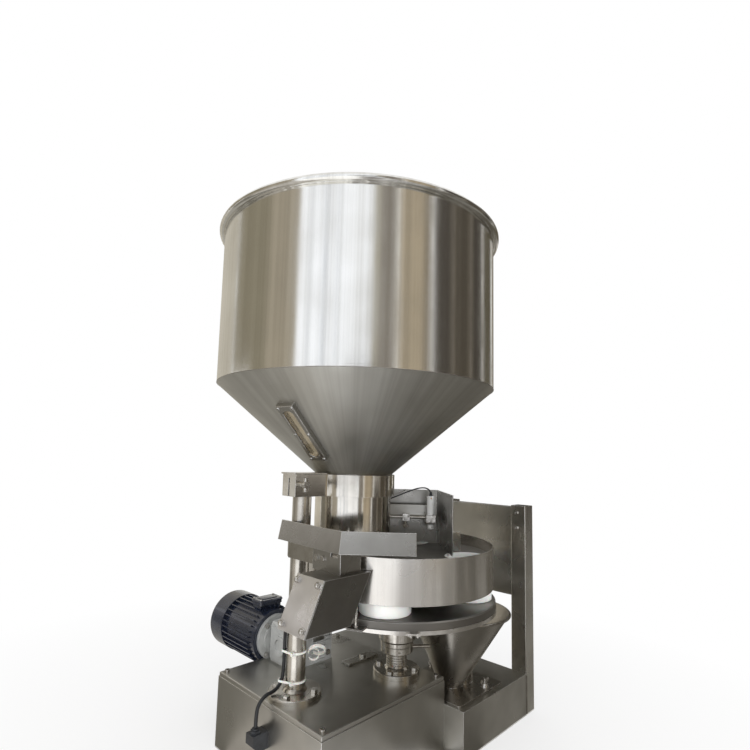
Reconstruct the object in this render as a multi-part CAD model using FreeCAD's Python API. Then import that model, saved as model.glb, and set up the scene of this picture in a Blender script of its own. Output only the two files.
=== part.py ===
import FreeCAD, Part
import math
import os

# Volumetric cup filler: a hopper on a column feeds a turntable of measuring cups.
# Millimetres. +Z is up. The origin is the centre of the base housing's underside.

Vec = FreeCAD.Vector

# Base housing and its top plate
BASE_SIDE = 340.0
BASE_TOP_Z = 150.0
BASE_WALL = 2.5
TOP_PLATE_THICK = 8.0
TOP_PLATE_MARGIN = 1.5
BASE_FLANGE_WIDTH = 30.0
BASE_FLANGE_THICK = 4.0
BASE_BOLT_INSET = 16.0
BASE_BOLT_SPACING = BASE_SIDE - 2.0 * BASE_BOLT_INSET
BASE_BOLT_HOLE_R = 5.5

# Deck that carries the discharge funnel and the frame posts
DECK_TOP_Z = 95.0
DECK_LENGTH = 270.0
DECK_Y_LOW = -219.0
DECK_Y_HIGH = 300.0
DECK_WALL = 3.0

# Frame posts and cross panels
POST_SIDE = 40.0
POST_WALL = 2.5
POST_TOP_Z = 498.0
POST_X = BASE_SIDE / 2.0 + DECK_LENGTH + POST_SIDE / 2.0
FRONT_POST_Y = -199.0
REAR_POST_Y = 24.0
PANEL_SHEET = 2.0
UPPER_PANEL_SET_BACK = 4.0
UPPER_PANEL_LOW_Z = 402.0
UPPER_PANEL_HIGH_Z = 494.0
LOWER_PANEL_LOW_Z = 270.0
LOWER_PANEL_HIGH_Z = 401.0
LOWER_PANEL_SET_BACK = 14.0
PANEL_FLANGE = 18.0

# Column that carries the hopper
COLUMN_X = -109.5
COLUMN_Y = -15.5
COLUMN_R = 19.0
COLUMN_WALL = 3.0
COLUMN_TOP_Z = 572.0
FOOT_R = 52.0
FOOT_THICK = 8.0
FOOT_WELD = 5.0
FOOT_BOLT_PITCH_R = 40.0

# Hopper
HOPPER_X = 20.0
HOPPER_Y = -29.0
HOPPER_R = 300.0
HOPPER_WALL = 2.0
HOPPER_TOP_Z = 1093.0
CONE_TOP_Z = 758.7
RIM_BEAD_R = 7.0
RIM_BEAD_OUT = 4.5
NECK_R = 83.0
NECK_WALL = 2.0
NECK_LOW_Z = 415.0

# Clamp ring that holds the neck on the column
CLAMP_LOW_Z = 530.0
CLAMP_HIGH_Z = 574.0
CLAMP_RING_WALL = 6.7
CLAMP_BLOCK_WIDTH = 50.0
CLAMP_BLOCK_PAST_COLUMN = 32.0
CLAMP_COVER_THICK = 3.0
CLAMP_BOLT_R = 5.0
CLAMP_BOLT_REACH = 26.0

# Sight window on the cone, centred on one generator line of it
SIGHT_ANGLE = -166.0
SIGHT_DOWN_CONE = 156.0
SIGHT_LENGTH = 150.0
SIGHT_WIDTH = 40.0
SIGHT_HEIGHT = 10.0
SIGHT_SLOT_LENGTH = 122.0
SIGHT_SLOT_WIDTH = 19.0
SIGHT_GLASS_LIP = 2.5
SIGHT_GLASS_THICK = 3.5

# Turntable
TURN_X = 111.0
TURN_Y = -85.0
RING_R = 205.0
RING_WALL = 2.0
RING_LOW_Z = 345.0
RING_HIGH_Z = 429.0
PLATE_TOP_Z = 404.0
PLATE_THICK = 6.0
SHAFT_R = 15.0
SHAFT_LOW_Z = 98.0
HUB_R = 44.0
HUB_HEIGHT = 26.0
HUB_BOLT_PITCH_R = 33.0

# Measuring cups, an upper sleeve that telescopes into a lower cup
CUP_COUNT = 4
CUP_PITCH_R = 151.0
CUP_FIRST_ANGLE = -58.0
SLEEVE_R = 44.0
SLEEVE_WALL = 2.5
SLEEVE_LOW_Z = 350.0
SLEEVE_FLANGE_R = 50.0
SLEEVE_FLANGE_THICK = 3.0
CUP_R = 50.0
CUP_HEIGHT = 66.0
CUP_WALL = 5.6

# Bottom tray that closes the cups, and its height adjustment
TRAY_R = 209.0
TRAY_THICK = 3.0
TRAY_TOP_Z = 319.7
TRAY_SKIRT = 22.0
TRAY_SKIRT_WALL = 2.0
HOOP_WALL = 2.0
HOOP_HEIGHT = 7.0
DISCHARGE_R = 46.0
DISCHARGE_ANGLE = -16.4
DISCHARGE_LIP = 10.0
CARRIER_R = 39.5
COLLAR_LOW_Z = 195.0
COLLAR_HEIGHT = 15.0
COLLAR_R = 35.0
SUPPORT_FLANGE_R = 50.0
SUPPORT_FLANGE_THICK = 11.0
SUPPORT_NECK_R = 22.0
SUPPORT_NECK_TOP_Z = 282.0
SUPPORT_BOLT_PITCH_R = 40.0
THREAD_GROOVES = 6
THREAD_PITCH = 5.0
THREAD_DEPTH = 0.8
BUSH_WALL = 3.0
BUSH_LENGTH = 24.0
TOMMY_BAR_R = 3.5
TOMMY_BAR_LENGTH = 46.0
TOMMY_BAR_ANGLE = -38.0
LUG_ANGLE = 202.0
LUG_REACH = 24.0
LUG_WIDTH = 30.0
LUG_THICK = 3.0
STOP_PIN_R = 2.5
STOP_PIN_HEIGHT = 35.0
HOOP_SCREW_ANGLE = 229.0

# Discharge funnel
FUNNEL_X = 281.0
FUNNEL_Y = -128.0
FUNNEL_R = 118.0
FUNNEL_TOP_Z = 260.0
FUNNEL_LOW_Z = 98.0
FUNNEL_LOW_R = 27.0
FUNNEL_LOW_SHIFT_X = -28.0
FUNNEL_LOW_SHIFT_Y = 1.0
FUNNEL_WALL = 1.5
FUNNEL_RIM_R = 3.0
OUTLET_R = 28.0
OUTLET_SHIFT_X = 8.0
OUTLET_SHIFT_Y = -2.0
OUTLET_LOW_Z = 52.0
OUTLET_HIGH_Z = 176.0
OUTLET_HOSE_ROOM = 10.0
FUNNEL_PLATE_THICK = 4.0
FUNNEL_PLATE_LOW_X = 176.0
FUNNEL_PLATE_HIGH_X = 350.0
FUNNEL_PLATE_LOW_Y = -205.0
FUNNEL_PLATE_HIGH_Y = -33.0
WING_STUD_X = 294.0
WING_STUD_INSET = 13.0

# Toothed belt drive inside the base
DRIVE_X = 12.0
DRIVE_Y = 112.0
PULLEY_ROOM = 15.5
PULLEY_R = BASE_SIDE / 2.0 - BASE_WALL - DRIVE_Y - PULLEY_ROOM
PULLEY_TEETH = 24
PULLEY_WIDTH = 22.0
PULLEY_LOW_Z = 106.0
BELT_WIDTH = 18.0
BELT_THICK = 3.5
DRIVE_SHAFT_R = 9.0

# Worm gearbox and motor
GEARBOX_LOW_X = -54.0
GEARBOX_HIGH_X = 62.0
GEARBOX_LOW_Y = 66.0
GEARBOX_HIGH_Y = 158.0
GEARBOX_HEIGHT = 84.0
GEARBOX_CORNER = 12.0
GEARBOX_BOLT_INSET = 14.0
GEARBOX_BOLT_DEPTH = 12.0
WORM_X = -28.0
WORM_Z = 190.0
MOTOR_FLANGE_R = 51.0
MOTOR_FLANGE_THICK = 12.5
MOTOR_FLANGE_STEP = 14.0
MOTOR_SHIELD_R = 60.0
MOTOR_SHIELD_THICK = 12.0
MOTOR_BODY_R = 58.0
MOTOR_BODY_LENGTH = 128.0
MOTOR_FIN_R = 66.0
MOTOR_FINS = 32
MOTOR_FIN_THICK = 2.6
COWL_R = 67.0
COWL_LENGTH = 52.0
COWL_WALL = 2.0
COWL_OVERLAP = 8.0
COWL_SLOTS = 12
FAN_R = 55.0
FAN_BLADES = 6
FAN_WIDTH = 18.0
MOTOR_SHAFT_R = 7.0

# Box in front of the column, with its sloping cover
BOX_LOW_Y = -184.0
BOX_HIGH_Y = -112.0
BOX_TOP_Z = 405.0
BOX_BOTTOM_Z = 320.0
BOX_TOP_LOW_X = -186.0
BOX_TOP_HIGH_X = -78.0
BOX_BOTTOM_LOW_X = -224.0
BOX_BOTTOM_HIGH_X = -125.0
BOX_WALL = 2.0
BOX_RING_GAP = 4.0
COVER_THICK = 2.5
COVER_NUT_R = 5.5
COVER_NUT_INSET = 10.0

# Guard skirt round the neck and what carries it
SKIRT_LOW_Z = 443.0
SKIRT_HEIGHT = 38.0
SKIRT_SHEET = 2.0
SKIRT_LEFT_X = -141.0
SKIRT_LEFT_Y = 18.0
SKIRT_CORNER_X = -152.0
SKIRT_CORNER_Y = -178.0
SKIRT_RIGHT_X = -57.0
SKIRT_RIGHT_Y = -273.0
SKIRT_FLARE = 8.0
SKIRT_SEAT_UP = 12.0
BRACKET_SHEET = 3.0
BRACKET_CORNER_X = -142.0
BRACKET_CORNER_Y = -172.0
BRACKET_REACH_X = 50.0
BRACKET_REACH_Y = 76.0
GUARD_COLLAR_LOW_Z = 412.0
GUARD_COLLAR_HEIGHT = 30.0
GUARD_COLLAR_WALL = 6.0
GUARD_ARM_THICK = 8.0

# Scraper box that keeps the product heap over the cups
SCRAPER_ANGLE = -45.0
SCRAPER_BACK = 130.0
SCRAPER_LEFT = -131.0
SCRAPER_RIGHT_BACK = 103.0
SCRAPER_RIGHT_FRONT = 111.0
SCRAPER_FRONT = -48.0
SCRAPER_SHEET = 2.0
SCRAPER_LOW_Z = 405.5
SCRAPER_TOP_Z = 534.0
SCRAPER_BLADE_TOP_Z = 448.0
SCRAPER_BLADE_REACH = 30.0
ARM_Y = 20.0
ARM_WIDTH = 24.0
ARM_THICK = 8.0
ARM_TOP_Z = 492.0

# Level sensor on its rail and rod, in the scraper box
RAIL_LENGTH = 112.0
RAIL_HEIGHT = 30.0
RAIL_THICK = 4.0
RAIL_STAND_OFF = 26.0
RAIL_CENTRE_S = 31.0
RAIL_MID_Z = 484.0
ROD_R = 4.0
ROD_LENGTH = 111.0
ROD_LEFT_SHARE = 0.42
ROD_Z = 470.0
CLAMP_CUBE = 17.0
ROD_CLAMP_LEFT = 8.0
SENSOR_S = 80.0
SENSOR_R = 9.0
SENSOR_LENGTH = 44.0
SENSOR_TIP_R = 7.0
SENSOR_SEAT = 0.5
SENSOR_BELOW = 16.5

# Cables
CABLE_R = 3.5
SENSOR_CABLE_R = 1.6

# Clearances and fastener sizes
RUN_FIT = 0.05
SLIDE_FIT = 0.3
SEAT_GAP = 0.3
M6_R = 3.0
M8_R = 4.0
SHEET_SCREW_R = 2.5


def box(x0, x1, y0, y1, z0, z1):
    """Block between two corners."""
    return Part.makeBox(x1 - x0, y1 - y0, z1 - z0, Vec(x0, y0, z0))


def cyl(x, y, z0, z1, radius):
    """Upright cylinder."""
    return Part.makeCylinder(radius, z1 - z0, Vec(x, y, z0))


def tube(x, y, z0, z1, outer, inner):
    """Upright tube."""
    return cyl(x, y, z0, z1, outer).cut(cyl(x, y, z0 - 1.0, z1 + 1.0, inner))


def rod(start, end, radius):
    """Round bar between two points."""
    way = end.sub(start)
    return Part.makeCylinder(radius, way.Length, start, way)


def polygon_face(points):
    """Flat face from its corner points."""
    wire = Part.makePolygon(list(points) + [points[0]])
    return Part.Face(wire)


def extrude(points, way):
    """Prism from flat corner points, pushed along a vector."""
    return polygon_face(points).extrude(way)


def revolve(points, x, y):
    """Solid of revolution about the upright axis at (x, y) from (radius, z) points."""
    outline = [Vec(x + r, y, z) for r, z in points]
    return polygon_face(outline).revolve(Vec(x, y, 0), Vec(0, 0, 1), 360)


def fuse(shapes):
    """One shape from several that touch or overlap."""
    whole = shapes[0].multiFuse(shapes[1:]) if len(shapes) > 1 else shapes[0]
    return whole.removeSplitter()


def polar(x, y, radius, degrees, z=0.0):
    """Point at a radius and an angle from an upright axis."""
    turn = math.radians(degrees)
    return Vec(x + radius * math.cos(turn), y + radius * math.sin(turn), z)


def turned(shape, x, y, degrees):
    """Copy of a shape, turned about the upright axis at (x, y)."""
    copy = shape.copy()
    copy.rotate(Vec(x, y, 0), Vec(0, 0, 1), degrees)
    return copy


def hex_prism(centre, way, across, height):
    """Hexagon bar that starts at a point and runs along a direction."""
    corner_r = across / 2.0 / math.cos(math.pi / 6.0)
    corners = []
    for step in range(6):
        turn = math.pi / 3.0 * step
        corners.append(Vec(corner_r * math.cos(turn), corner_r * math.sin(turn), 0))
    prism = extrude(corners, Vec(0, 0, height))
    prism.Placement = FreeCAD.Placement(centre, FreeCAD.Rotation(Vec(0, 0, 1), way))
    return prism


def hex_bolt(seat, way, radius, grip):
    """Hexagon bolt: head on the seat, shank going into it."""
    head = hex_prism(seat, way, radius * 3.3, radius * 1.3)
    shank = rod(seat, seat.sub(Vec(way).multiply(grip)), radius)
    return fuse([head, shank])


def socket_screw(seat, way, radius, grip):
    """Socket head screw with its hexagon recess."""
    top = seat.add(Vec(way).multiply(radius * 1.6))
    head = rod(seat, top, radius * 1.75)
    recess = hex_prism(top.sub(Vec(way).multiply(radius)), way, radius * 1.6, radius * 1.5)
    shank = rod(seat, seat.sub(Vec(way).multiply(grip)), radius)
    return fuse([head.cut(recess), shank])


def dome_nut(seat, way, radius, grip):
    """Dome nut on its stud: hexagon, ball cap, and the stud in the wall."""
    hexagon = hex_prism(seat, way, radius * 2.0, radius * 0.8)
    cap_base = seat.add(Vec(way).multiply(radius * 0.8))
    cap = Part.makeSphere(radius * 0.8, cap_base, Vec(way), 0, 90, 360)
    stud = rod(seat, seat.sub(Vec(way).multiply(grip)), radius * 0.5)
    return fuse([hexagon, cap, stud])


def offset_path(points, gap):
    """Flat polyline moved sideways to its left by a gap, with mitred corners."""
    moved = []
    last = len(points) - 1
    for index, point in enumerate(points):
        before = points[max(index - 1, 0)]
        after = points[min(index + 1, last)]
        first_leg = Vec(point.x - before.x, point.y - before.y, 0)
        second_leg = Vec(after.x - point.x, after.y - point.y, 0)
        if index == 0:
            first_leg = second_leg
        if index == last:
            second_leg = first_leg
        first_side = Vec(-first_leg.y, first_leg.x, 0).normalize()
        second_side = Vec(-second_leg.y, second_leg.x, 0).normalize()
        middle = first_side.add(second_side).normalize()
        reach = gap / middle.dot(first_side)
        moved.append(Vec(point.x + middle.x * reach, point.y + middle.y * reach, point.z))
    return moved


def sheet_outline(points, gap):
    """Closed outline of a bent sheet, seen from above."""
    return list(points) + list(reversed(offset_path(points, gap)))


def bent_sheet(points, thickness, height):
    """Upright sheet with bends, from its plan line at the sheet's foot."""
    return extrude(sheet_outline(points, thickness), Vec(0, 0, height))


def rounded_block(x0, x1, y0, y1, z0, z1, radius):
    """Block with its four upright edges rounded."""
    block = box(x0, x1, y0, y1, z0, z1)
    upright = [e for e in block.Edges if abs(e.tangentAt(e.FirstParameter).z) > 0.99]
    return block.makeFillet(radius, upright)


def cable(points, radius):
    """Round cable along straight runs joined by arcs that touch both runs."""
    edges = []
    start = points[0]
    for index in range(1, len(points) - 1):
        before, corner, after = points[index - 1], points[index], points[index + 1]
        way_in = corner.sub(before)
        way_out = after.sub(corner)
        shorter = min(way_in.Length, way_out.Length)
        half_turn = way_in.getAngle(way_out) / 2.0
        cut_back = 0.45 * shorter
        bend_r = cut_back / math.tan(half_turn)
        way_in.normalize()
        way_out.normalize()
        arc_start = corner.sub(Vec(way_in).multiply(cut_back))
        arc_end = corner.add(Vec(way_out).multiply(cut_back))
        middle_way = Vec(way_out).sub(way_in).normalize()
        sagitta = bend_r / math.cos(half_turn) - bend_r
        arc_middle = corner.add(middle_way.multiply(sagitta))
        edges.append(Part.LineSegment(start, arc_start).toShape())
        edges.append(Part.Arc(arc_start, arc_middle, arc_end).toShape())
        start = arc_end
        print("cable bend radius", round(bend_r, 1))
    edges.append(Part.LineSegment(start, points[-1]).toShape())
    path = Part.Wire(edges)
    first_way = points[1].sub(points[0])
    section = Part.Wire(Part.makeCircle(radius, points[0], first_way))
    solid = path.makePipeShell([section], True, False)
    print("cable length", round(path.Length, 1), "volume", round(solid.Volume, 1),
          "section times length", round(math.pi * radius * radius * path.Length, 1))
    return solid


BASE_HALF = BASE_SIDE / 2.0
TOP_PLATE_LOW_Z = BASE_TOP_Z - TOP_PLATE_THICK


def base_bolt_spots():
    """Plan places of the four holes in the base housing's foot flange."""
    half = BASE_BOLT_SPACING / 2.0
    return [Vec(x, y, 0) for x in (-half, half) for y in (-half, half)]


def base_housing():
    """Folded housing: four walls, a foot flange that turns in, screw tabs on top."""
    outside = box(-BASE_HALF, BASE_HALF, -BASE_HALF, BASE_HALF, 0, TOP_PLATE_LOW_Z)
    inner = BASE_HALF - BASE_WALL
    space = box(-inner, inner, -inner, inner, BASE_FLANGE_THICK, TOP_PLATE_LOW_Z + 1.0)
    opening = BASE_HALF - BASE_FLANGE_WIDTH
    mouth = box(-opening, opening, -opening, opening, -1.0, BASE_FLANGE_THICK + 1.0)
    shell = outside.cut(space).cut(mouth)
    for spot in base_bolt_spots():
        shell = shell.cut(cyl(spot.x, spot.y, -1.0, BASE_FLANGE_THICK + 1.0, BASE_BOLT_HOLE_R))
    blocks = []
    for spot in plate_screw_spots():
        blocks.append(cyl(spot.x, spot.y, TOP_PLATE_LOW_Z - 14.0, TOP_PLATE_LOW_Z, M6_R + 5.0))
        inner_x = math.copysign(inner, spot.x)
        inner_y = math.copysign(inner, spot.y)
        blocks.append(box(min(spot.x, inner_x), max(spot.x, inner_x),
                          min(spot.y, inner_y), max(spot.y, inner_y),
                          TOP_PLATE_LOW_Z - 14.0, TOP_PLATE_LOW_Z))
    shell = fuse([shell] + blocks)
    for spot in plate_screw_spots():
        shell = shell.cut(cyl(spot.x, spot.y, TOP_PLATE_LOW_Z - 15.0, BASE_TOP_Z, M6_R))
    return shell


PLATE_SCREW_INSET = 13.0


def plate_screw_spots():
    """Plan places of the screws that hold the top plate on the housing."""
    near = BASE_HALF - PLATE_SCREW_INSET
    return [Vec(x, y, 0) for x in (-near, near) for y in (-near, near)]


def top_plate():
    """Thick plate that closes the housing and carries column, support and gearbox."""
    side = BASE_HALF - TOP_PLATE_MARGIN
    plate = box(-side, side, -side, side, TOP_PLATE_LOW_Z, BASE_TOP_Z)
    rims = [e for e in plate.Edges if e.BoundBox.ZMin > BASE_TOP_Z - 0.1]
    plate = plate.makeChamfer(1.0, rims)
    holes = [cyl(TURN_X, TURN_Y, TOP_PLATE_LOW_Z - 1, BASE_TOP_Z + 1, SHAFT_R + BUSH_WALL)]
    holes.append(cyl(DRIVE_X, DRIVE_Y, TOP_PLATE_LOW_Z - 1, BASE_TOP_Z + 1, DRIVE_SHAFT_R + 6.0))
    for spot in plate_screw_spots():
        holes.append(cyl(spot.x, spot.y, TOP_PLATE_LOW_Z - 1, BASE_TOP_Z + 1, M6_R))
    for spot in support_bolt_spots():
        holes.append(cyl(spot.x, spot.y, TOP_PLATE_LOW_Z - 1, BASE_TOP_Z + 1, M8_R))
    for spot in foot_bolt_spots():
        holes.append(cyl(spot.x, spot.y, TOP_PLATE_LOW_Z - 1, BASE_TOP_Z + 1, M8_R))
    for spot in gearbox_bolt_spots():
        holes.append(cyl(spot.x, spot.y, TOP_PLATE_LOW_Z - 1, BASE_TOP_Z + 1, M8_R))
    for hole in holes:
        plate = plate.cut(hole)
    return plate


def plate_screws():
    """Screws in the corners of the top plate."""
    seats = [Vec(s.x, s.y, BASE_TOP_Z) for s in plate_screw_spots()]
    return [socket_screw(s, Vec(0, 0, 1), M6_R, TOP_PLATE_THICK + 10.0) for s in seats]


BAR_LENGTH = 92.0
BAR_WIDTH = 24.0
BAR_THICK = 5.0
BAR_X = 52.0
BAR_Y = 2.0
BAR_BOLT_FROM_END = 38.0


def slot_bar():
    """Loose adjusting bar bolted flat on the top plate beside the support."""
    bar = box(BAR_X, BAR_X + BAR_LENGTH, BAR_Y, BAR_Y + BAR_WIDTH, BASE_TOP_Z, BASE_TOP_Z + BAR_THICK)
    return bar.cut(cyl(BAR_X + BAR_LENGTH - BAR_BOLT_FROM_END, BAR_Y + BAR_WIDTH / 2, BASE_TOP_Z - 1,
                       BASE_TOP_Z + BAR_THICK + 1, M8_R))


def slot_bar_bolt():
    """Bolt of the adjusting bar."""
    seat = Vec(BAR_X + BAR_LENGTH - BAR_BOLT_FROM_END, BAR_Y + BAR_WIDTH / 2, BASE_TOP_Z + BAR_THICK)
    return hex_bolt(seat, Vec(0, 0, 1), M8_R, BAR_THICK)


def deck_low_x():
    """The deck starts where the base housing ends."""
    return BASE_HALF


def deck():
    """Folded tray, open below, that carries the funnel and holds the frame posts at its end."""
    x0 = deck_low_x()
    x1 = x0 + DECK_LENGTH
    shell = box(x0, x1, DECK_Y_LOW, DECK_Y_HIGH, 0, DECK_TOP_Z)
    space = box(x0 + DECK_WALL, x1 - DECK_WALL, DECK_Y_LOW + DECK_WALL, DECK_Y_HIGH - DECK_WALL,
                -1.0, DECK_TOP_Z - DECK_WALL)
    shell = shell.cut(space)
    outlet = outlet_axis()
    shell = shell.cut(cyl(outlet.x, outlet.y, 0, DECK_TOP_Z + 1, OUTLET_R + OUTLET_HOSE_ROOM))
    for spot in wing_stud_spots():
        shell = shell.cut(cyl(spot.x, spot.y, 0, DECK_TOP_Z + 1, M8_R + SEAT_GAP))
    return shell


def post(y):
    """Square tube post with a welded cap, standing on the floor against the deck's end."""
    half = POST_SIDE / 2.0
    inner = half - POST_WALL
    outside = rounded_block(POST_X - half, POST_X + half, y - half, y + half,
                            0.0, POST_TOP_Z, 2.0)
    space = box(POST_X - inner, POST_X + inner, y - inner, y + inner,
                -1.0, POST_TOP_Z - POST_WALL)
    return outside.cut(space)


def cross_panel(low_z, high_z, set_back):
    """Channel panel between the two posts, flanges to the back."""
    face_x = POST_X - POST_SIDE / 2.0 + set_back
    y0 = FRONT_POST_Y + POST_SIDE / 2.0
    y1 = REAR_POST_Y - POST_SIDE / 2.0
    outside = box(face_x, face_x + PANEL_FLANGE, y0, y1, low_z, high_z)
    space = box(face_x + PANEL_SHEET, face_x + PANEL_FLANGE + 1.0, y0 - 1.0, y1 + 1.0,
                low_z + PANEL_SHEET, high_z - PANEL_SHEET)
    return outside.cut(space)


def post_screws():
    """Screws near the top of the front post that hold the upper panel."""
    face_x = POST_X - POST_SIDE / 2.0
    seats = [Vec(face_x, FRONT_POST_Y + 4.0, z) for z in (POST_TOP_Z - 18.0, POST_TOP_Z - 56.0)]
    return [socket_screw(s, Vec(-1, 0, 0), SHEET_SCREW_R, POST_WALL) for s in seats]


def foot_bolt_spots():
    """Plan places of the column foot's bolts."""
    return [polar(COLUMN_X, COLUMN_Y, FOOT_BOLT_PITCH_R, a) for a in (30, 120, 210, 300)]


def column():
    """Pipe with a welded round foot and its weld fillet."""
    foot_top = BASE_TOP_Z + FOOT_THICK
    profile = [(0, BASE_TOP_Z), (FOOT_R, BASE_TOP_Z), (FOOT_R, foot_top - 1.0),
               (FOOT_R - 1.0, foot_top), (COLUMN_R + FOOT_WELD, foot_top),
               (COLUMN_R, foot_top + FOOT_WELD), (COLUMN_R, COLUMN_TOP_Z),
               (COLUMN_R - COLUMN_WALL, COLUMN_TOP_Z), (COLUMN_R - COLUMN_WALL, foot_top),
               (0, foot_top)]
    pipe = revolve(profile, COLUMN_X, COLUMN_Y)
    for spot in foot_bolt_spots():
        pipe = pipe.cut(cyl(spot.x, spot.y, BASE_TOP_Z - 1, foot_top + 1, M8_R))
    return pipe


def foot_bolts():
    """Bolts of the column foot."""
    top = BASE_TOP_Z + FOOT_THICK
    grip = FOOT_THICK + TOP_PLATE_THICK
    return [hex_bolt(Vec(s.x, s.y, top), Vec(0, 0, 1), M8_R, grip) for s in foot_bolt_spots()]


CONE_LOW_Z = CLAMP_HIGH_Z + SEAT_GAP
CONE_SLOPE = math.atan2(CONE_TOP_Z - CONE_LOW_Z, HOPPER_R - NECK_R)
WALL_OUT = HOPPER_WALL / math.sin(CONE_SLOPE)


def sight_place(shape):
    """Move a shape from its own flat frame on to the cone.

    In its own frame X runs down the cone, Z points out of it and the origin is the
    window's centre.
    """
    along = Vec(-math.cos(CONE_SLOPE), 0, -math.sin(CONE_SLOPE))
    out = Vec(math.sin(CONE_SLOPE), 0, -math.cos(CONE_SLOPE))
    centre = Vec(HOPPER_X + HOPPER_R, HOPPER_Y, CONE_TOP_Z).add(Vec(along).multiply(SIGHT_DOWN_CONE))
    side = out.cross(along)
    matrix = FreeCAD.Matrix(along.x, side.x, out.x, centre.x,
                            along.y, side.y, out.y, centre.y,
                            along.z, side.z, out.z, centre.z,
                            0, 0, 0, 1)
    moved = shape.copy()
    moved.transformShape(matrix)
    return turned(moved, HOPPER_X, HOPPER_Y, SIGHT_ANGLE)


def stadium(length, width, z0, z1):
    """Slot shape with round ends, long in X, centred on the origin."""
    half = length / 2.0 - width / 2.0
    parts = [box(-half, half, -width / 2.0, width / 2.0, z0, z1)]
    parts.append(cyl(-half, 0, z0, z1, width / 2.0))
    parts.append(cyl(half, 0, z0, z1, width / 2.0))
    return fuse(parts)


def hopper_solid():
    """The outside of the hopper's cone and cylinder, filled."""
    return revolve([(0, CONE_LOW_Z), (NECK_R, CONE_LOW_Z), (HOPPER_R, CONE_TOP_Z),
                    (HOPPER_R, HOPPER_TOP_Z), (0, HOPPER_TOP_Z)], HOPPER_X, HOPPER_Y)


def hopper_cone():
    """Rolled cone under the shell, with the sight slot cut through."""
    cone = revolve([(NECK_R, CONE_LOW_Z), (HOPPER_R, CONE_TOP_Z), (HOPPER_R - HOPPER_WALL, CONE_TOP_Z),
                    (NECK_R - WALL_OUT, CONE_LOW_Z)], HOPPER_X, HOPPER_Y)
    slot = stadium(SIGHT_SLOT_LENGTH, SIGHT_SLOT_WIDTH, -4.0 * HOPPER_WALL, 4.0 * HOPPER_WALL)
    return cone.cut(sight_place(slot))


def hopper_shell():
    """Rolled cylinder with its rim bead on top."""
    shell = tube(HOPPER_X, HOPPER_Y, CONE_TOP_Z, HOPPER_TOP_Z, HOPPER_R, HOPPER_R - HOPPER_WALL)
    centre_z = HOPPER_TOP_Z - RIM_BEAD_R
    bead = Part.makeTorus(HOPPER_R + RIM_BEAD_OUT, RIM_BEAD_R, Vec(HOPPER_X, HOPPER_Y, centre_z))
    bead = bead.cut(cyl(HOPPER_X, HOPPER_Y, centre_z - 2 * RIM_BEAD_R, HOPPER_TOP_Z + 1.0,
                        HOPPER_R - HOPPER_WALL / 2))
    return fuse([shell, bead])


def hopper_neck():
    """Polished tube that leads the product down on to the turntable."""
    return tube(HOPPER_X, HOPPER_Y, NECK_LOW_Z, CONE_LOW_Z, NECK_R, NECK_R - NECK_WALL)


def sight_frame():
    """Raised frame of the sight window, seated on the cone."""
    block = box(-SIGHT_LENGTH / 2, SIGHT_LENGTH / 2, -SIGHT_WIDTH / 2, SIGHT_WIDTH / 2,
                -HOPPER_WALL * 2, SIGHT_HEIGHT)
    rims = [e for e in block.Edges if e.BoundBox.ZMin > SIGHT_HEIGHT - 0.1]
    block = block.makeChamfer(1.0, rims)
    slot = stadium(SIGHT_SLOT_LENGTH, SIGHT_SLOT_WIDTH, -4.0 * HOPPER_WALL, SIGHT_HEIGHT + 1)
    grown = 2.0 * SIGHT_GLASS_LIP
    pocket = stadium(SIGHT_SLOT_LENGTH + grown, SIGHT_SLOT_WIDTH + grown,
                     SIGHT_HEIGHT - SIGHT_GLASS_THICK, SIGHT_HEIGHT + 1)
    frame = block.cut(slot).cut(pocket)
    for spot in sight_screw_spots():
        frame = frame.cut(cyl(spot.x, spot.y, HOPPER_WALL * 2, SIGHT_HEIGHT + 1, M6_R / 2))
    return sight_place(frame).cut(hopper_solid())


def sight_screw_spots():
    """Screw places on the sight frame, in its own frame."""
    far = SIGHT_LENGTH / 2 - 6.0
    side = SIGHT_WIDTH / 2 - 4.0
    return [Vec(x, y, 0) for x in (-far, 0, far) for y in (-side, side)]


def sight_screws():
    """Small pan screws of the sight frame."""
    screws = []
    for spot in sight_screw_spots():
        head = cyl(spot.x, spot.y, SIGHT_HEIGHT, SIGHT_HEIGHT + 1.6, M6_R)
        shank = cyl(spot.x, spot.y, HOPPER_WALL * 2, SIGHT_HEIGHT, M6_R / 2)
        screws.append(sight_place(fuse([head, shank])))
    return screws


def sight_glass():
    """Clear window in the frame's pocket."""
    grown = 2.0 * SIGHT_GLASS_LIP - 0.2
    glass = stadium(SIGHT_SLOT_LENGTH + grown, SIGHT_SLOT_WIDTH + grown,
                    SIGHT_HEIGHT - SIGHT_GLASS_THICK, SIGHT_HEIGHT - 0.5)
    return sight_place(glass)


def clamp_frame():
    """Distance and angle from the neck's axis to the column's axis."""
    dx = COLUMN_X - HOPPER_X
    dy = COLUMN_Y - HOPPER_Y
    return math.hypot(dx, dy), math.degrees(math.atan2(dy, dx))


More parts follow.
